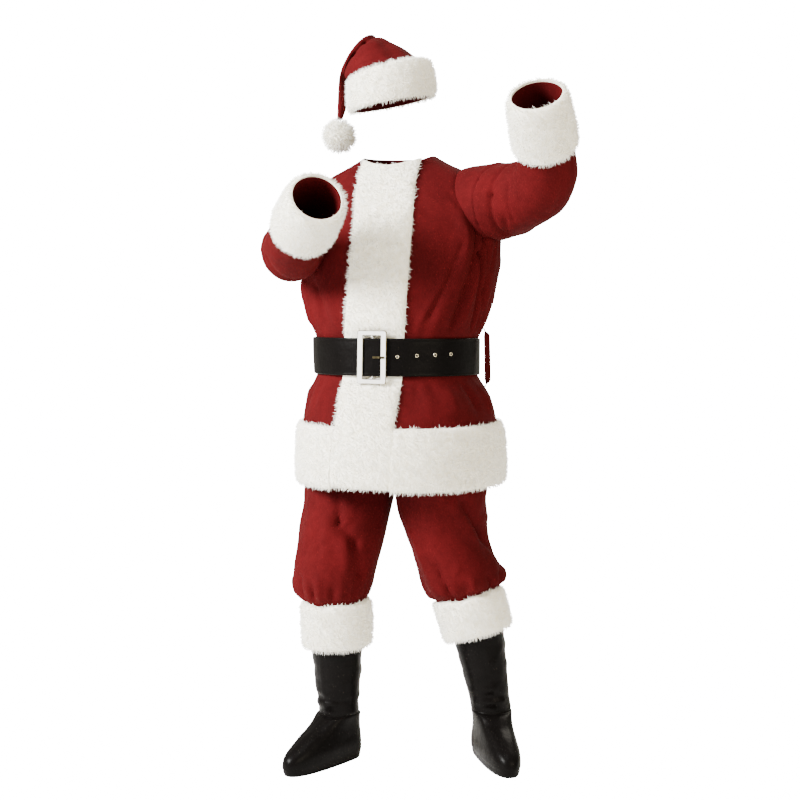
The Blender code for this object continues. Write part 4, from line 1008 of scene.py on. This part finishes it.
def makeBelt():
    look = beltLook
    turns = np.concatenate([look["tailEnd"] + np.array([0, 0.25, 0.6, 1.2, 2, 3, 4.5]),
                            np.linspace(look["tailEnd"] + 6, look["strapStart"], 170)])
    across = np.concatenate([[0, 0.008, 0.02, 0.045], np.linspace(0.06, 0.94, 19), [0.955, 0.98, 0.992, 1]])
    wide = coatLook["beltTop"] - coatLook["beltBottom"]
    fromEdge = np.minimum(across, 1 - across) * wide
    dome = np.sqrt(np.clip(fromEdge / 0.0016, 0, 1))
    dip = look["edgeDip"] * np.exp(-((fromEdge - look["edgeLine"]) / 0.0011) ** 2)
    outer = look["thick"] * (0.35 + 0.65 * dome) - dip
    laid = np.stack(np.meshgrid(turns * 0.0035, across * wide, [0.0], indexing="ij"), -1)[:, :, 0]
    ripple = 0.0005 * softNoise(laid, 0.03, 5)
    depth = outer[None, :] + ripple * dome[None, :]
    front = strapAt(turns[:, None], across[None, :], depth)
    back = strapAt(turns[:, None], across[None, :], np.zeros_like(depth))
    strap = shell("belt_vinyl", front, back, False, blackVinyl)
    holes = []
    for number, (turn, up) in enumerate(look["eyelets"]):
        centre = strapAt(turn, up, look["thick"])
        out = strapAt(turn, up, 0.02) - centre
        out = out / np.linalg.norm(out)
        mesh = bmesh.new()
        bmesh.ops.create_cone(mesh, cap_ends=True, segments=16, radius1=0.0025, radius2=0.0025, depth=0.014)
        turned = Vector((0, 0, 1)).rotation_difference(Vector(out)).to_matrix().to_4x4()
        bmesh.ops.transform(mesh, matrix=turned, verts=mesh.verts)
        bmesh.ops.translate(mesh, vec=Vector(centre), verts=mesh.verts)
        data = bpy.data.meshes.new("hole")
        mesh.to_mesh(data)
        mesh.free()
        hole = bpy.data.objects.new("hole", data)
        bpy.context.scene.collection.objects.link(hole)
        holes.append(hole)
        eyelet(f"eyelet_ring_{number + 1}", f"eyelet_{number + 1}", centre + out * 0.0007, out)
    place(cutAway(strap, holes), "black_vinyl", "belt_strap")
    drop(holes)


def eyelet(name, node, centre, out):
    # a rolled metal ring
    side = np.cross(out, (0, 0, 1))
    side = side / np.linalg.norm(side)
    up = np.cross(side, out)
    section = [(0.0024, -0.0016), (0.0024, 0.0001), (0.0027, 0.0006), (0.0033, 0.0008), (0.0040, 0.0006),
               (0.0045, 0.0000), (0.0045, -0.0006), (0.0034, -0.0008)]
    turns = np.radians(np.arange(28) * 360 / 28)
    spokes = [side * math.cos(a) + up * math.sin(a) for a in turns]
    rings = np.array([[centre + spoke * reach + out * rise for reach, rise in section] for spoke in spokes])
    rows, cols = rings.shape[:2]
    i, j = np.meshgrid(np.arange(rows), np.arange(cols), indexing="ij")
    ni, nj = (i + 1) % rows, (j + 1) % cols
    faces = np.stack([i * cols + j, ni * cols + j, ni * cols + nj, i * cols + nj], -1).reshape(-1, 4)
    place(newPiece(name, rings.reshape(-1, 3), [faces], eyeletMetal), "buckle_metal", node)


makeBelt()
print("belt done")


# Trousers

# height, tilt, open, x, y, half x, half y, half width, front, back
hipRings = [
    (0.700, 0.00, 0.0, 0.1130, -0.022, 0.1122, 0.1280, 0.200, 0.162, 0.140),
    (0.735, 0.00, 0.26, 0.1130, -0.020, 0.1122, 0.1320, 0.201, 0.164, 0.142),
    (0.785, 0.00, 0.70, 0.1130, -0.016, 0.1122, 0.1340, 0.200, 0.164, 0.142),
    (0.845, 0.00, 1.0, 0.1130, -0.012, 0.1122, 0.1340, 0.196, 0.162, 0.140),
    (0.915, 0.00, 1.0, 0.1130, -0.010, 0.1122, 0.1300, 0.184, 0.155, 0.130),
    (0.970, 0.00, 1.0, 0.1130, -0.008, 0.1122, 0.1200, 0.1744, 0.148, 0.123),
]
leftLeg = np.array([
    (0.304, 0.30, 0.0, 0.2010, 0.009, 0.0690, 0.0700, 0.190, 0.150, 0.125),
    (0.355, 0.29, 0.0, 0.1890, 0.004, 0.0700, 0.0710, 0.190, 0.150, 0.125),
    (0.400, 0.27, 0.0, 0.1765, 0.000, 0.0740, 0.0750, 0.190, 0.150, 0.125),
    (0.413, 0.24, 0.0, 0.1720, -0.001, 0.0920, 0.0930, 0.190, 0.150, 0.125),
    (0.438, 0.18, 0.0, 0.1640, -0.002, 0.1010, 0.1040, 0.190, 0.150, 0.125),
    (0.475, 0.10, 0.0, 0.1530, -0.005, 0.0990, 0.1060, 0.190, 0.150, 0.125),
    (0.535, 0.03, 0.0, 0.1320, -0.011, 0.0975, 0.1090, 0.190, 0.150, 0.125),
    (0.600, 0.00, 0.0, 0.1170, -0.016, 0.1080, 0.1180, 0.190, 0.150, 0.125),
    (0.655, 0.00, 0.0, 0.1140, -0.020, 0.1122, 0.1240, 0.196, 0.158, 0.135),
] + hipRings)
rightLeg = np.array([
    (0.281, -0.04, 0.0, 0.1150, -0.132, 0.0700, 0.0710, 0.190, 0.150, 0.125),
    (0.340, -0.05, 0.0, 0.1160, -0.130, 0.0710, 0.0720, 0.190, 0.150, 0.125),
    (0.390, -0.05, 0.0, 0.1190, -0.128, 0.0740, 0.0750, 0.190, 0.150, 0.125),
    (0.404, -0.05, 0.0, 0.1240, -0.125, 0.0870, 0.0900, 0.190, 0.150, 0.125),
    (0.430, -0.04, 0.0, 0.1270, -0.119, 0.0970, 0.1020, 0.190, 0.150, 0.125),
    (0.468, -0.02, 0.0, 0.1270, -0.111, 0.1010, 0.1080, 0.190, 0.150, 0.125),
    (0.530, 0.00, 0.0, 0.1210, -0.093, 0.1060, 0.1130, 0.190, 0.150, 0.125),
    (0.600, 0.00, 0.0, 0.1160, -0.066, 0.1085, 0.1190, 0.190, 0.150, 0.125),
    (0.655, 0.00, 0.0, 0.1140, -0.040, 0.1122, 0.1240, 0.196, 0.158, 0.135),
] + hipRings)
# on a leg the angle runs from the inseam (0) round the front (90) to the outer side (180)
legGathers = [
    (12, 0.430, 14, 0.392, 0.011, -0.009), (196, 0.445, 192, 0.392, 0.013, 0.006),
    (212, 0.450, 208, 0.392, 0.012, -0.011), (232, 0.440, 230, 0.392, 0.012, 0.007),
    (252, 0.455, 250, 0.392, 0.012, -0.011), (288, 0.450, 284, 0.392, 0.013, -0.010),
    (318, 0.445, 322, 0.392, 0.012, 0.006), (340, 0.440, 342, 0.392, 0.011, -0.010),
    (225, 0.660, 215, 0.500, 0.022, -0.008), (290, 0.650, 280, 0.500, 0.022, 0.007),
    (330, 0.640, 320, 0.500, 0.018, -0.007),
]
leftLegFolds = legGathers + [
    (138, 0.640, 165, 0.555, 0.010, -0.014), (165, 0.555, 198, 0.480, 0.010, -0.012),
    (124, 0.640, 152, 0.550, 0.016, 0.007), (78, 0.485, 88, 0.395, 0.008, -0.012),
    (50, 0.560, 66, 0.430, 0.014, 0.006), (40, 0.450, 48, 0.392, 0.011, -0.010),
    (108, 0.425, 106, 0.392, 0.011, -0.011), (122, 0.440, 120, 0.392, 0.011, 0.006),
    (150, 0.440, 154, 0.392, 0.012, -0.013), (176, 0.440, 176, 0.392, 0.011, -0.010),
]
rightLegFolds = legGathers + [
    (84, 0.680, 74, 0.585, 0.010, -0.012), (74, 0.585, 49, 0.540, 0.010, -0.015),
    (49, 0.540, 31, 0.465, 0.010, -0.016), (31, 0.465, 38, 0.395, 0.010, -0.012),
    (62, 0.530, 50, 0.470, 0.016, 0.008), (70, 0.425, 70, 0.392, 0.011, -0.011),
    (90, 0.450, 86, 0.392, 0.012, 0.006), (102, 0.430, 101, 0.392, 0.011, -0.011),
    (126, 0.450, 126, 0.392, 0.012, -0.012), (150, 0.440, 152, 0.392, 0.012, 0.006),
    (170, 0.440, 174, 0.392, 0.012, -0.010), (140, 0.640, 148, 0.520, 0.020, -0.006),
]
trouserLook = {
    "columns": 96,
    "rows": 94,
    "cuffTop": 2.0,
    "cuffWave": 0.07,
    "cuffGathers": 0.0040,
}


def legPoint(rows, folds, side, u, v, fine=True):
    height, tilt, opened, x, y, halfX, halfY, halfWidth, front, back = rowAt(rows, v)
    angle = np.radians(u)
    halfAngle = angle / 2
    free = (1 - opened) * np.clip((height - 0.395) / 0.02, 0, 1) * np.abs(np.sin(halfAngle)) ** 0.5
    swell = foldDepth(folds, u, height, 0.105, 1.0)
    if fine:
        swell = swell + trouserLook["cuffGathers"] * pleats(u, 51, 14, 34) * np.exp(
            -np.abs(height - 0.412) / 0.022)
    swell = swell * free
    legX = x - (halfX + swell) * np.cos(angle)
    legY = y - (halfY + swell) * np.sin(angle)
    depth = np.where(np.cos(halfAngle) > 0, front, back)
    worldX = legX * (1 - opened) + halfWidth * np.sin(halfAngle) * opened
    worldY = legY * (1 - opened) - depth * np.cos(halfAngle) * opened
    return np.stack(np.broadcast_arrays(side * worldX, worldY, height + tilt * (worldX - x) - neckHeight), -1)


def makeTrousers():
    look = trouserLook
    for name, rows, folds, side, seed in (
        ("left", leftLeg, leftLegFolds, 1, 81), ("right", rightLeg, rightLegFolds, -1, 82),
    ):
        small = smallFolds(seed, 46, (10, 350), (0.44, 0.66), 1.0, 0.105, 0.8, (0.04, 0.09), (0.0012, 0.0032))
        turns = np.linspace(0.1, 359.9, look["columns"])
        heights = np.linspace(rowAt(rows, 0.06)[0], rows[-1][0], look["rows"])
        places = placesAtHeights(rows, heights)
        outer = legPoint(rows, folds + small, side, turns[None, :], places[:, None])
        out = outwards(outer, False, side)
        leg = shell("trouser_" + name + "_cloth", outer, outer - out * suit["clothThick"], False, redVelour)
        place(leg, "red_velour", "trouser_" + name)
        places = np.linspace(0, look["cuffTop"], 28)
        turns = np.arange(62) * 360 / 62
        # the cloth hangs over the cuff's upper edge unevenly
        wave = 1 + look["cuffWave"] * pleats(turns, 85, 3, 9)[None, :]
        grid = legPoint(rows, folds, side, turns[None, :], places[:, None] * wave, False)
        depth = furAcross(0, look["cuffTop"], np.broadcast_to(places[:, None], grid.shape[:2]), 0.020)
        furBand("trouser_cuff_" + name, "trouser_cuff_fur_" + name, grid, outwards(grid, True, side), depth,
                0.0006, True, 83 if side > 0 else 84, (0.50, 0.13), [leg.name])
    top = hipRings[-1]
    turns = np.arange(120) * 360 / 120
    share = np.linspace(0, 1, 9)[:, None]
    angle = np.radians(turns)[None, :]
    shape = 1 - 0.01 * share
    depth = np.where(np.cos(angle) > 0, top[8], top[9])
    band = np.stack(np.broadcast_arrays(
        top[7] * shape * np.sin(angle), -depth * shape * np.cos(angle),
        top[0] + 0.0004 + 0.035 * share - neckHeight), -1)
    out = outwards(band, True)
    ridge = 0.0004 * pleats(turns, 55, 60, 110)[None, :] * np.sin(np.pi * share)
    outer = band + out * ridge[..., None]
    waist = shell("trouser_waistband_cloth", outer, band - out * 0.0035, True, redVelour)
    place(waist, "red_velour", "trouser_waistband")


makeTrousers()
print("trousers done")


# Hat

# inner end x and height, outer end x and height, y, half depth;
# the rings fan round the crease of the fold-over
hatRings = np.array([
    (-0.111, 1.580, 0.075, 1.614, -0.010, 0.103), (-0.111, 1.618, 0.073, 1.660, -0.009, 0.102),
    (-0.116, 1.650, 0.062, 1.694, -0.008, 0.096), (-0.133, 1.662, 0.035, 1.713, -0.005, 0.087),
    (-0.1385, 1.6655, 0.008, 1.733, -0.002, 0.078), (-0.1405, 1.6675, -0.020, 1.748, 0.001, 0.069),
    (-0.1420, 1.6690, -0.050, 1.765, 0.004, 0.061), (-0.1435, 1.6695, -0.078, 1.771, 0.007, 0.054),
    (-0.1450, 1.6695, -0.104, 1.754, 0.010, 0.047), (-0.1465, 1.6685, -0.128, 1.727, 0.012, 0.040),
    (-0.1480, 1.6660, -0.147, 1.700, 0.014, 0.034), (-0.1490, 1.6580, -0.160, 1.670, 0.016, 0.029),
    (-0.1490, 1.6300, -0.167, 1.633, 0.017, 0.023), (-0.1500, 1.6000, -0.171, 1.600, 0.018, 0.016),
    (-0.1600, 1.5680, -0.174, 1.5680, 0.018, 0.007),
])
# angle and place where a fold starts and ends, how softly it ends, depth
hatFolds = [
    (40, 3.2, 20, 5.6, 0.9, -0.007), (-50, 2.6, -25, 5.4, 0.9, -0.006), (75, 2.4, 60, 4.2, 0.8, 0.005),
    (140, 2.2, 120, 4.4, 0.8, -0.006), (-120, 2.2, -105, 4.6, 0.8, -0.005),
]
# creases across the fold-over, as angle, place, angle, place, half width, depth
hatCreases = [
    (10, 6.3, -50, 6.3, 0.0055, -0.0075), (-50, 6.3, -95, 6.4, 0.0060, -0.0095),
    (-95, 6.4, -160, 6.9, 0.0070, -0.0095), (-20, 5.4, -100, 5.2, 0.0120, 0.0035),
    (-70, 3.2, -110, 3.6, 0.0060, -0.0040), (30, 4.6, 95, 5.6, 0.0080, -0.0040),
    (120, 6.0, 60, 7.6, 0.0080, -0.0050),
]
hatLook = {
    "columns": 92,
    "rows": 100,
    "lean": 0.10,
    "bandTop": 2.25,
    "pompom": (-0.1690, 0.018, 1.5276),
    "pompomRadius": 0.036,
}


def hatPoint(u, v, fine=True):
    inX, inHeight, outX, outHeight, y, deep = rowAt(hatRings, v)
    angle = np.radians(u)
    halfX, halfZ = (outX - inX) / 2, (outHeight - inHeight) / 2
    centreX, centreZ = inX + halfX, inHeight + halfZ - neckHeight
    swell = 0.0
    for angleA, alongA, angleB, alongB, softness, depth in hatFolds:
        share = np.clip((v - alongA) / (alongB - alongA), 0, 1)
        turn = (u - angleA - (angleB - angleA) * share + 180) % 360 - 180
        ends = np.maximum(np.maximum(alongA - v, v - alongB), 0.0)
        swell = swell + depth * np.exp(-((turn / 16) ** 2) - (ends / softness) ** 2)
    if fine:
        swell = swell + 0.0018 * pleats(u, 91, 7, 19) * np.exp(-np.abs(v - 2.3) / 0.9)
        swell = swell + foldDepth(hatCreases, u, v, 0.05, 0.02)
    swell = swell * np.clip(v - 2.2, 0, 1)
    shape = (1 + swell / np.hypot(halfX, halfZ)) * np.cos(angle)
    offY = (deep + swell) * np.sin(angle)
    lean = hatLook["lean"] * np.maximum(0.0, 1 - v / 5)
    height = centreZ + halfZ * shape + lean * offY
    return np.stack(np.broadcast_arrays(centreX + halfX * shape, y + offY, height), -1)


def makeHat():
    look = hatLook
    turns = np.arange(look["columns"]) * 360 / look["columns"]
    places = np.linspace(0.05, 14, look["rows"])
    outer = hatPoint(turns[None, :], places[:, None])
    out = outwards(outer, True)
    crown = shell("hat_crown_cloth", outer, outer - out * suit["clothThick"], True, redVelour)
    place(crown, "red_velour", "hat_crown")
    places = np.linspace(0, look["bandTop"], 26)
    turns = np.arange(76) * 360 / 76
    grid = hatPoint(turns[None, :], places[:, None], False)
    depth = furAcross(0, look["bandTop"], np.broadcast_to(places[:, None], grid.shape[:2]), 0.018)
    furBand("hat_band", "hat_fur_band", grid, outwards(grid, True), depth, 0.0018, True, 92, (0.64, 0.105),
            [crown.name])
    centre = Vector(look["pompom"]) - Vector((0, 0, neckHeight))
    mesh = bmesh.new()
    bmesh.ops.create_icosphere(mesh, subdivisions=4, radius=look["pompomRadius"] - 0.003)
    points = np.array([v.co[:] for v in mesh.verts])
    lumps = 1 + 0.05 * softNoise(points + 0.5, 0.012, 95)
    for vert, lump in zip(mesh.verts, lumps):
        vert.co = vert.co * lump + centre
    for name in ("hat_pompom_ball", "hat_pompom_pile"):
        data = bpy.data.meshes.new(name)
        mesh.to_mesh(data)
        data.shade_smooth()
        data.materials.append(furBacking)
        made = bpy.data.objects.new(name, data)
        bpy.context.scene.collection.objects.link(made)
        if name.endswith("pile"):
            pileOn(made, 96, {**pileLook, "density": 150000.0, "length": 0.0175, "clump": 0.9, "droop": 0.10})
            place(made, "white_fur")
        else:
            place(made, "white_fur", "hat_pompom")
    mesh.free()


makeHat()
print("hat done")


# Boot tops

# x, y, height, radius
leftShaft = np.array([
    (0.231, 0.020, 0.1185, 0.0500), (0.226, 0.018, 0.150, 0.0500), (0.217, 0.015, 0.205, 0.0555),
    (0.207, 0.012, 0.260, 0.0600), (0.1950, 0.006, 0.330, 0.0655),
])
rightShaft = np.array([
    (-0.111, -0.131, 0.1185, 0.0500), (-0.112, -0.131, 0.150, 0.0500), (-0.114, -0.132, 0.205, 0.0560),
    (-0.115, -0.132, 0.260, 0.0610), (-0.1155, -0.1308, 0.312, 0.0665),
])
# height, heel and toe from the ankle's axis, half width
footRings = np.array([
    (0.004, 0.053, 0.176, 0.043), (0.022, 0.057, 0.182, 0.047), (0.045, 0.057, 0.175, 0.0475),
    (0.066, 0.056, 0.149, 0.045), (0.086, 0.054, 0.111, 0.044), (0.104, 0.052, 0.076, 0.046),
    (0.1172, 0.0505, 0.0530, 0.0500),
])
bootLook = {
    "columns": 66,
    "rows": 72,
    "leftToe": 31.0,
    "toeReach": 1.05,
    "rightToe": -18.5,
}
# angle (0 at the toe), height, angle, height, half width, depth
bootCreases = [
    (-48, 0.128, 48, 0.124, 0.0055, -0.0032), (-62, 0.143, 30, 0.147, 0.0075, 0.0034),
    (-20, 0.160, 70, 0.154, 0.0060, -0.0026), (-70, 0.172, 5, 0.178, 0.0080, 0.0024),
    (150, 0.140, 215, 0.146, 0.0070, -0.0026), (120, 0.160, 180, 0.170, 0.0080, 0.0024),
    (-30, 0.205, 40, 0.196, 0.0090, -0.0016), (60, 0.235, 130, 0.222, 0.0090, 0.0016),
    (-110, 0.215, -40, 0.228, 0.0090, -0.0016), (160, 0.250, 240, 0.240, 0.0100, 0.0014),
    (-35, 0.098, 36, 0.094, 0.0060, -0.0020), (-30, 0.080, 30, 0.078, 0.0060, 0.0014),
]


def bootPoint(shaft, toeOut, u, v):
    turn = math.radians(toeOut)
    ahead = np.array([math.sin(turn), -math.cos(turn), 0.0])
    across = np.array([math.cos(turn), math.sin(turn), 0.0])
    angle = np.radians(u)
    ankle = len(footRings) - 1.0
    u, v = np.broadcast_arrays(u, v)
    height, heel, toe, halfWidth = rowAt(footRings, np.minimum(v, ankle))
    longer = 1 + (bootLook["toeReach"] - 1) * smooth((0.1 - height) / 0.06)
    reach = np.where(np.cos(angle) > 0, toe * longer, heel)
    blunt = 0.82
    x0, y0 = shaft[0][0], shaft[0][1]
    foot = (np.stack(np.broadcast_arrays(x0, y0, height - neckHeight), -1)
            + ahead * (reach * np.sign(np.cos(angle)) * np.abs(np.cos(angle)) ** blunt)[..., None]
            + across * (halfWidth * np.sign(np.sin(angle)) * np.abs(np.sin(angle)) ** blunt)[..., None])
    sx, sy, sh, radius = rowAt(shaft, np.maximum(v - ankle - 1, 0))
    leg = (np.stack([sx, sy, sh - neckHeight], -1) + ahead * (radius * np.cos(angle))[..., None]
           + across * (radius * np.sin(angle))[..., None])
    t = np.clip(v - ankle, 0, 1)[..., None]
    return foot * (1 - t) + leg * t


def makeBoots():
    look = bootLook
    for name, shaft, toeOut, seed in (
        ("left", leftShaft, look["leftToe"], 101), ("right", rightShaft, look["rightToe"], 102),
    ):
        dense = np.linspace(0, len(footRings) + len(shaft) - 1, 1200)
        line = bootPoint(shaft, toeOut, np.zeros(1), dense)[:, 2] + neckHeight
        heights = np.unique(np.concatenate([np.linspace(0.004, shaft[-1][2], look["rows"]),
                                            [0.1145, 0.1165, 0.1178, 0.1190, 0.121]]))
        places = np.interp(heights, line, dense)
        turns = np.arange(look["columns"]) * 360 / look["columns"]
        grid = bootPoint(shaft, toeOut, turns[None, :], places[:, None])
        out = outwards(grid, True)
        height = np.broadcast_to(heights[:, None], grid.shape[:2])
        small = smallFolds(seed, 30, (0, 360), (0.13, 0.30), 1.0, 0.055, 1.3, (0.02, 0.05), (0.0006, 0.0016))
        push = foldDepth(bootCreases + small, turns[None, :], height, 0.052, 1.0)
        push = push - 0.0022 * np.exp(-((height - 0.1178) / 0.0030) ** 2)
        # front seam ridge, and the sole's stitched welt
        off = np.radians((turns + 180) % 360 - 180)[None, :] * 0.05
        push = push + 0.0012 * np.exp(-(off / 0.0022) ** 2) * smooth((height - 0.03) / 0.03)
        push = push - 0.0015 * np.exp(-((height - 0.018) / 0.0020) ** 2)
        grid = grid + out * push[..., None]
        out = outwards(grid, True)
        top = shell("boot_" + name + "_vinyl", grid, grid - out * suit["vinylThick"], True, blackVinyl)
        place(top, "black_vinyl", "boot_" + name)


makeBoots()
print("boots done")


# Belt loops, and the buckle's own mesh

loopLook = {
    "angle": 97.0,
    "ends": (1.050, 0.908),
    "standOff": (0.0026, 0.0009),
    "clear": 0.001,
    "width": 0.015,
    "turn": 102.0,         # how far the strip is turned to the front
    "thick": 0.0020,
}


def makeLoops():
    look = loopLook
    t = np.linspace(0, 1, 40)
    height = look["ends"][0] + (look["ends"][1] - look["ends"][0]) * t
    section = np.radians(np.arange(14) * 360 / 14)
    for name, side, standOff in (("left", 1, look["standOff"][0]), ("right", -1, look["standOff"][1])):
        onCoat = coatPoint(side * look["angle"], placesAtHeights(coatRings, height))
        straight = onCoat[0] * (1 - t[:, None]) + onCoat[-1] * t[:, None]
        bow = look["clear"] * np.sin(np.pi * t) ** 0.7
        low = np.maximum(onCoat[:, 0] * side + standOff, straight[:, 0] * side + standOff + bow)
        ends = smooth(np.minimum(t, 1 - t) / 0.14)
        turn = np.radians(look["turn"]) * ends
        half = 0.006 + (look["width"] / 2 - 0.006) * ends
        flat = np.zeros_like(t)
        wide = np.stack([side * np.sin(turn), -np.cos(turn), flat], -1)
        thin = np.stack([side * np.cos(turn), np.sin(turn), flat], -1)
        centre = np.stack([side * (low + half * np.sin(turn)), straight[:, 1], height - neckHeight], -1)
        centre = centre + thin * look["thick"] / 2
        reach = half[:, None] * np.sign(np.cos(section)) * np.abs(np.cos(section)) ** 0.35
        rise = look["thick"] / 2 * np.sin(section)[None, :] * np.ones_like(half)[:, None]
        rise = rise * (1 + 0.25 * np.cos(section)[None, :] ** 2)
        grid = centre[:, None] + wide[:, None] * reach[..., None] + thin[:, None] * rise[..., None]
        loop = place(plug("belt_loop_" + name + "_cloth", grid), "red_velour", "belt_loop_" + name)
        loop.data.materials.append(redVelour)
        loop.data.shade_smooth()


def finishBuckle():
    # painted highlight on the frame's front faces, near white and only partly metallic; painted dark
    # reflection, dark olive, on its edges and on the whole prong
    for node in ("buckle_frame", "buckle_prong"):
        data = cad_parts[node].data.copy()
        data.name = node + "_metal"
        data.materials.clear()
        data.materials.append(paintedHighlightMetal)
        data.materials.append(paintedDarkReflectionMetal)
        mesh = bmesh.new()
        mesh.from_mesh(data)
        bmesh.ops.remove_doubles(mesh, verts=mesh.verts, dist=0.00002)
        if node == "buckle_frame":
            sharp = math.radians(40)
            edges = [e for e in mesh.edges if len(e.link_faces) == 2 and e.calc_face_angle(0.0) > sharp]
            bmesh.ops.bevel(mesh, geom=edges, offset=0.0003, segments=2, affect="EDGES", clamp_overlap=True)
        mesh.normal_update()
        # faces turned to the front get the painted highlight, all others the painted dark reflection
        for face in mesh.faces:
            face.material_index = 0 if face.normal.y < -0.93 and node == "buckle_frame" else 1
        mesh.to_mesh(data)
        mesh.free()
        piece = bpy.data.objects.new(node + "_metal", data)
        piece.matrix_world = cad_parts[node].matrix_world
        bpy.context.scene.collection.objects.link(piece)
        place(piece, "buckle_metal", node)


makeLoops()
finishBuckle()
print("loops and buckle done")


# Floor, light, camera

stageLook = {
    "floor": (0.90, 0.89, 0.87),
    "around": (1.0, 0.93, 0.80),
    "aroundStrength": 0.82,
    "backdrop": (1.0, 1.0, 1.0),
    "backdropStrength": 22.0,  # only the camera sees the backdrop
    "lights": (
        # name, place, size, power, colour
        ("key", (-2.5, -2.8, 1.3), 1.5, 880.0, (1.0, 0.995, 0.98)),
        ("fill", (2.9, -1.9, 0.4), 2.0, 75.0, (1.0, 0.88, 0.66)),
        ("back", (0.6, 2.8, 1.6), 2.0, 90.0, (1.0, 0.94, 0.82)),
        ("top", (0.0, -0.6, 2.4), 2.0, 50.0, (1.0, 1.0, 1.0)),
    ),
}
cameraLook = {
    "distance": 3.6,
    "height": 1.1560,
    "azimuth": 20.0,
    "tilt": 2.78,
    "lens": 65.70,
    "shift": -0.0555,
}


def makeStage():
    look = stageLook
    data = bpy.data.meshes.new("floor")
    reach = 40.0
    corners = [(-reach, -reach), (reach, -reach), (reach, reach), (-reach, reach)]
    data.from_pydata([(*corner, -neckHeight) for corner in corners], [], [(0, 1, 2, 3)])
    paint = bpy.data.materials.new("paleFloor")
    paint.use_nodes = True
    shader = paint.node_tree.nodes["Principled BSDF"]
    shader.inputs["Base Color"].default_value = (*look["floor"], 1.0)
    shader.inputs["Roughness"].default_value = 0.75
    seen = paint.node_tree.nodes.new("ShaderNodeLightPath").outputs["Is Camera Ray"]
    glow = paint.node_tree.nodes.new("ShaderNodeMath")
    glow.operation = "MULTIPLY"
    glow.inputs[1].default_value = look["backdropStrength"] - 1.0
    paint.node_tree.links.new(seen, glow.inputs[0])
    paint.node_tree.links.new(glow.outputs[0], shader.inputs["Emission Strength"])
    shader.inputs["Emission Color"].default_value = (*look["backdrop"], 1.0)
    data.materials.append(paint)
    floor = bpy.data.objects.new("floor", data)
    bpy.context.scene.collection.objects.link(floor)
    world = bpy.data.worlds.new("studio")
    world.use_nodes = True
    nodes, links = world.node_tree.nodes, world.node_tree.links
    around, backdrop = nodes["Background"], nodes.new("ShaderNodeBackground")
    for shade, part in ((around, "around"), (backdrop, "backdrop")):
        shade.inputs["Color"].default_value = (*look[part], 1.0)
        shade.inputs["Strength"].default_value = look[part + "Strength"]
    either = nodes.new("ShaderNodeMixShader")
    links.new(nodes.new("ShaderNodeLightPath").outputs["Is Camera Ray"], either.inputs[0])
    links.new(around.outputs[0], either.inputs[1])
    links.new(backdrop.outputs[0], either.inputs[2])
    links.new(either.outputs[0], nodes["World Output"].inputs["Surface"])
    bpy.context.scene.world = world
    for name, spot, size, power, colour in look["lights"]:
        lamp = bpy.data.lights.new(name, "AREA")
        lamp.shape = "DISK"
        lamp.size = size
        lamp.energy = power
        lamp.color = colour
        made = bpy.data.objects.new(name, lamp)
        made.location = spot
        made.rotation_euler = (Vector((0, 0, -0.6)) - Vector(spot)).to_track_quat("-Z", "Y").to_euler()
        bpy.context.scene.collection.objects.link(made)


def makeCamera():
    look = cameraLook
    lens = bpy.data.cameras.new("camera")
    lens.sensor_width = 36.0
    lens.lens = look["lens"]
    lens.shift_y = look["shift"]
    made = bpy.data.objects.new("camera", lens)
    turn = math.radians(look["azimuth"])
    made.location = (look["distance"] * math.sin(turn), -look["distance"] * math.cos(turn),
                     look["height"] - neckHeight)
    made.rotation_euler = (math.radians(90 - look["tilt"]), 0, turn)
    bpy.context.scene.collection.objects.link(made)
    bpy.context.scene.camera = made


makeStage()
makeCamera()
print("stage done")
